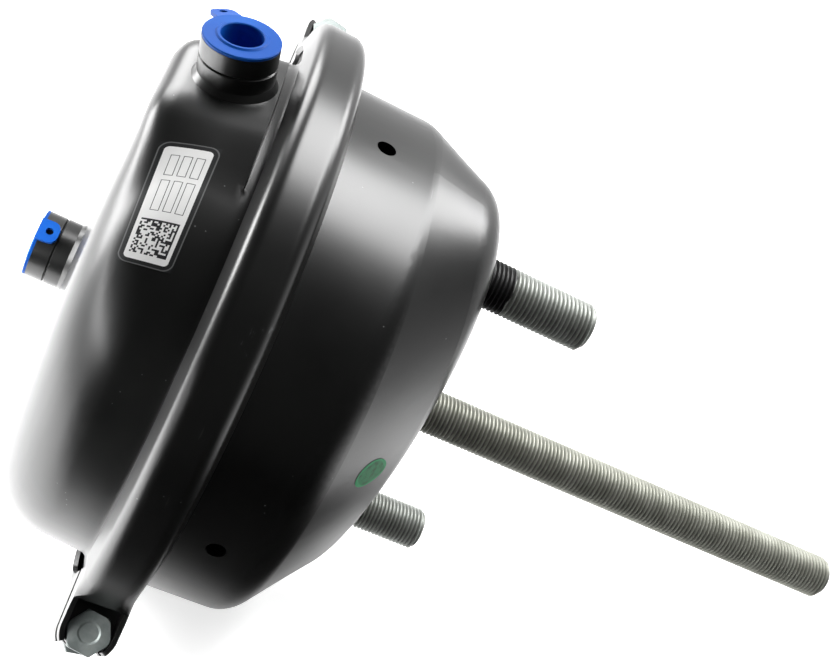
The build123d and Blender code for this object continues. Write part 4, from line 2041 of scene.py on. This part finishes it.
@dataclass(frozen=True)
class Floor:
    """A pale floor that looks white but keeps the object's faint shadow."""

    half: float = 3.0
    gap: float = 0.5 * MM
    matt: float = 0.8
    dark: float = 0.02
    glow: float = 0.72
    lit_edge: float = 0.035
    lit_fade: float = 0.05
    lit_middle: float = 0.1
    lit_slope: float = 0.9

    def build(self, lowest: float) -> None:
        """Lays the floor.

        Args:
            lowest: height of the object's lowest point.
        """
        shape = bmesh.new()
        bmesh.ops.create_grid(shape, x_segments=1, y_segments=1, size=self.half)
        move(shape, Matrix.Translation((0, 0, lowest - self.gap)))
        mesh = bpy.data.meshes.new("floor")
        shape.to_mesh(mesh)
        shape.free()
        floor = add_object("floor", mesh)
        material = bpy.data.materials.new("floor")
        material.use_nodes = True
        self._paint(Shader(material.node_tree))
        mesh.materials.append(material)
        floor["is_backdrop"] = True

    def _paint(self, shader: Shader) -> None:
        """Matt for light, white to the camera, and dark to reflections near the object.

        Args:
            shader: the shader it adds its nodes to.
        """
        matt = shader.node("ShaderNodeBsdfDiffuse", {}, {"Color": grey(self.matt)})
        dark = shader.node("ShaderNodeBsdfDiffuse", {}, {"Color": grey(self.dark)})
        glow = shader.node("ShaderNodeEmission", {}, {"Color": grey(1.0), "Strength": self.glow})
        lit = shader.node("ShaderNodeAddShader", {}, {0: matt, 1: glow})
        path = shader.node("ShaderNodeLightPath", {}, {})
        glossy = shader.output(path, Ray.GLOSSY)
        plain = shader.node("ShaderNodeMixShader", {}, {0: glossy, 1: matt, 2: dark})
        place = shader.place()
        aside = (shader.part(place, 0) - self.lit_middle).magnitude() * self.lit_slope
        aside = aside + shader.part(place, 1) - self.lit_edge
        seen = shader.sees_background(aside.ease(-self.lit_fade, self.lit_fade))
        both = shader.node("ShaderNodeMixShader", {}, {0: seen, 1: plain, 2: lit})
        shader.node("ShaderNodeOutputMaterial", {}, {"Surface": both})


@dataclass(frozen=True)
class Studio:
    """Floor, light and camera."""

    eye: Eye = Eye()
    lamps: tuple[Lamp, ...] = (
        Lamp("overhead", (0.08, 0.28, 0.78), 0.45, 10.0),
        Lamp("side", (-0.85, 0.26, 0.04), 0.28, 4.5),
        Lamp("table", (-0.3, -0.1, 0.06), 0.25, 3.0, target=(-0.3, -0.1, -0.1)),
        Lamp("back", (-0.54, 0.64, 0.42), 0.45, 6.5),
        Lamp("right", (0.35, 0.5, 0.58), 0.3, 3.8),
    )

    def build(self, lowest: float) -> None:
        """Sets up the whole studio.

        Args:
            lowest: height of the object's lowest point.
        """
        bpy.context.scene.view_settings.view_transform = "Standard"
        self.eye.build()
        Surroundings(front=tuple(-Vector(self.eye.forward))).build()
        Floor().build(lowest)
        for lamp in self.lamps:
            lamp.hang()


def shipping_plugs(side: Port, rear: Port) -> tuple[PortPlug, PortPlug]:
    """The two ports' plugs, whose tabs hang differently.

    Args:
        side: the port on the wall's pad.
        rear: the port on the back.

    Returns:
        The side plug and the rear plug.
    """
    return (
        PortPlug(
            "side_port_plug",
            "side_plug",
            side,
            turn=math.radians(121.0),
            bend=-0.3,
            tab_foot=10.0 * MM,
            tab_length=8.4 * MM,
        ),
        PortPlug(
            "rear_port_plug",
            "rear_plug",
            rear,
            turn=math.radians(-26.0),
            bend=-1.45,
            tab_foot=12.6 * MM,
            tab_length=6.4 * MM,
        ),
    )


def main() -> None:
    """Loads the frame, dresses every sub-assembly and sets up the studio."""
    logging.basicConfig(level=logging.INFO, format="%(name)s: %(message)s")
    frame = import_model()
    cad_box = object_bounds()
    chamber = Chamber(frame["nodes"])
    chamber.build()
    ports = Port.side(), Port.rear()
    for port in ports:
        Weld(port).build(chamber.boss_paint)
    for plug in shipping_plugs(*ports):
        plug.build(Polythene("polythene"))
    InnerWorks(frame["nodes"]).build()
    Studio().build(cad_box[0].z)


if __name__ == "__main__":
    main()
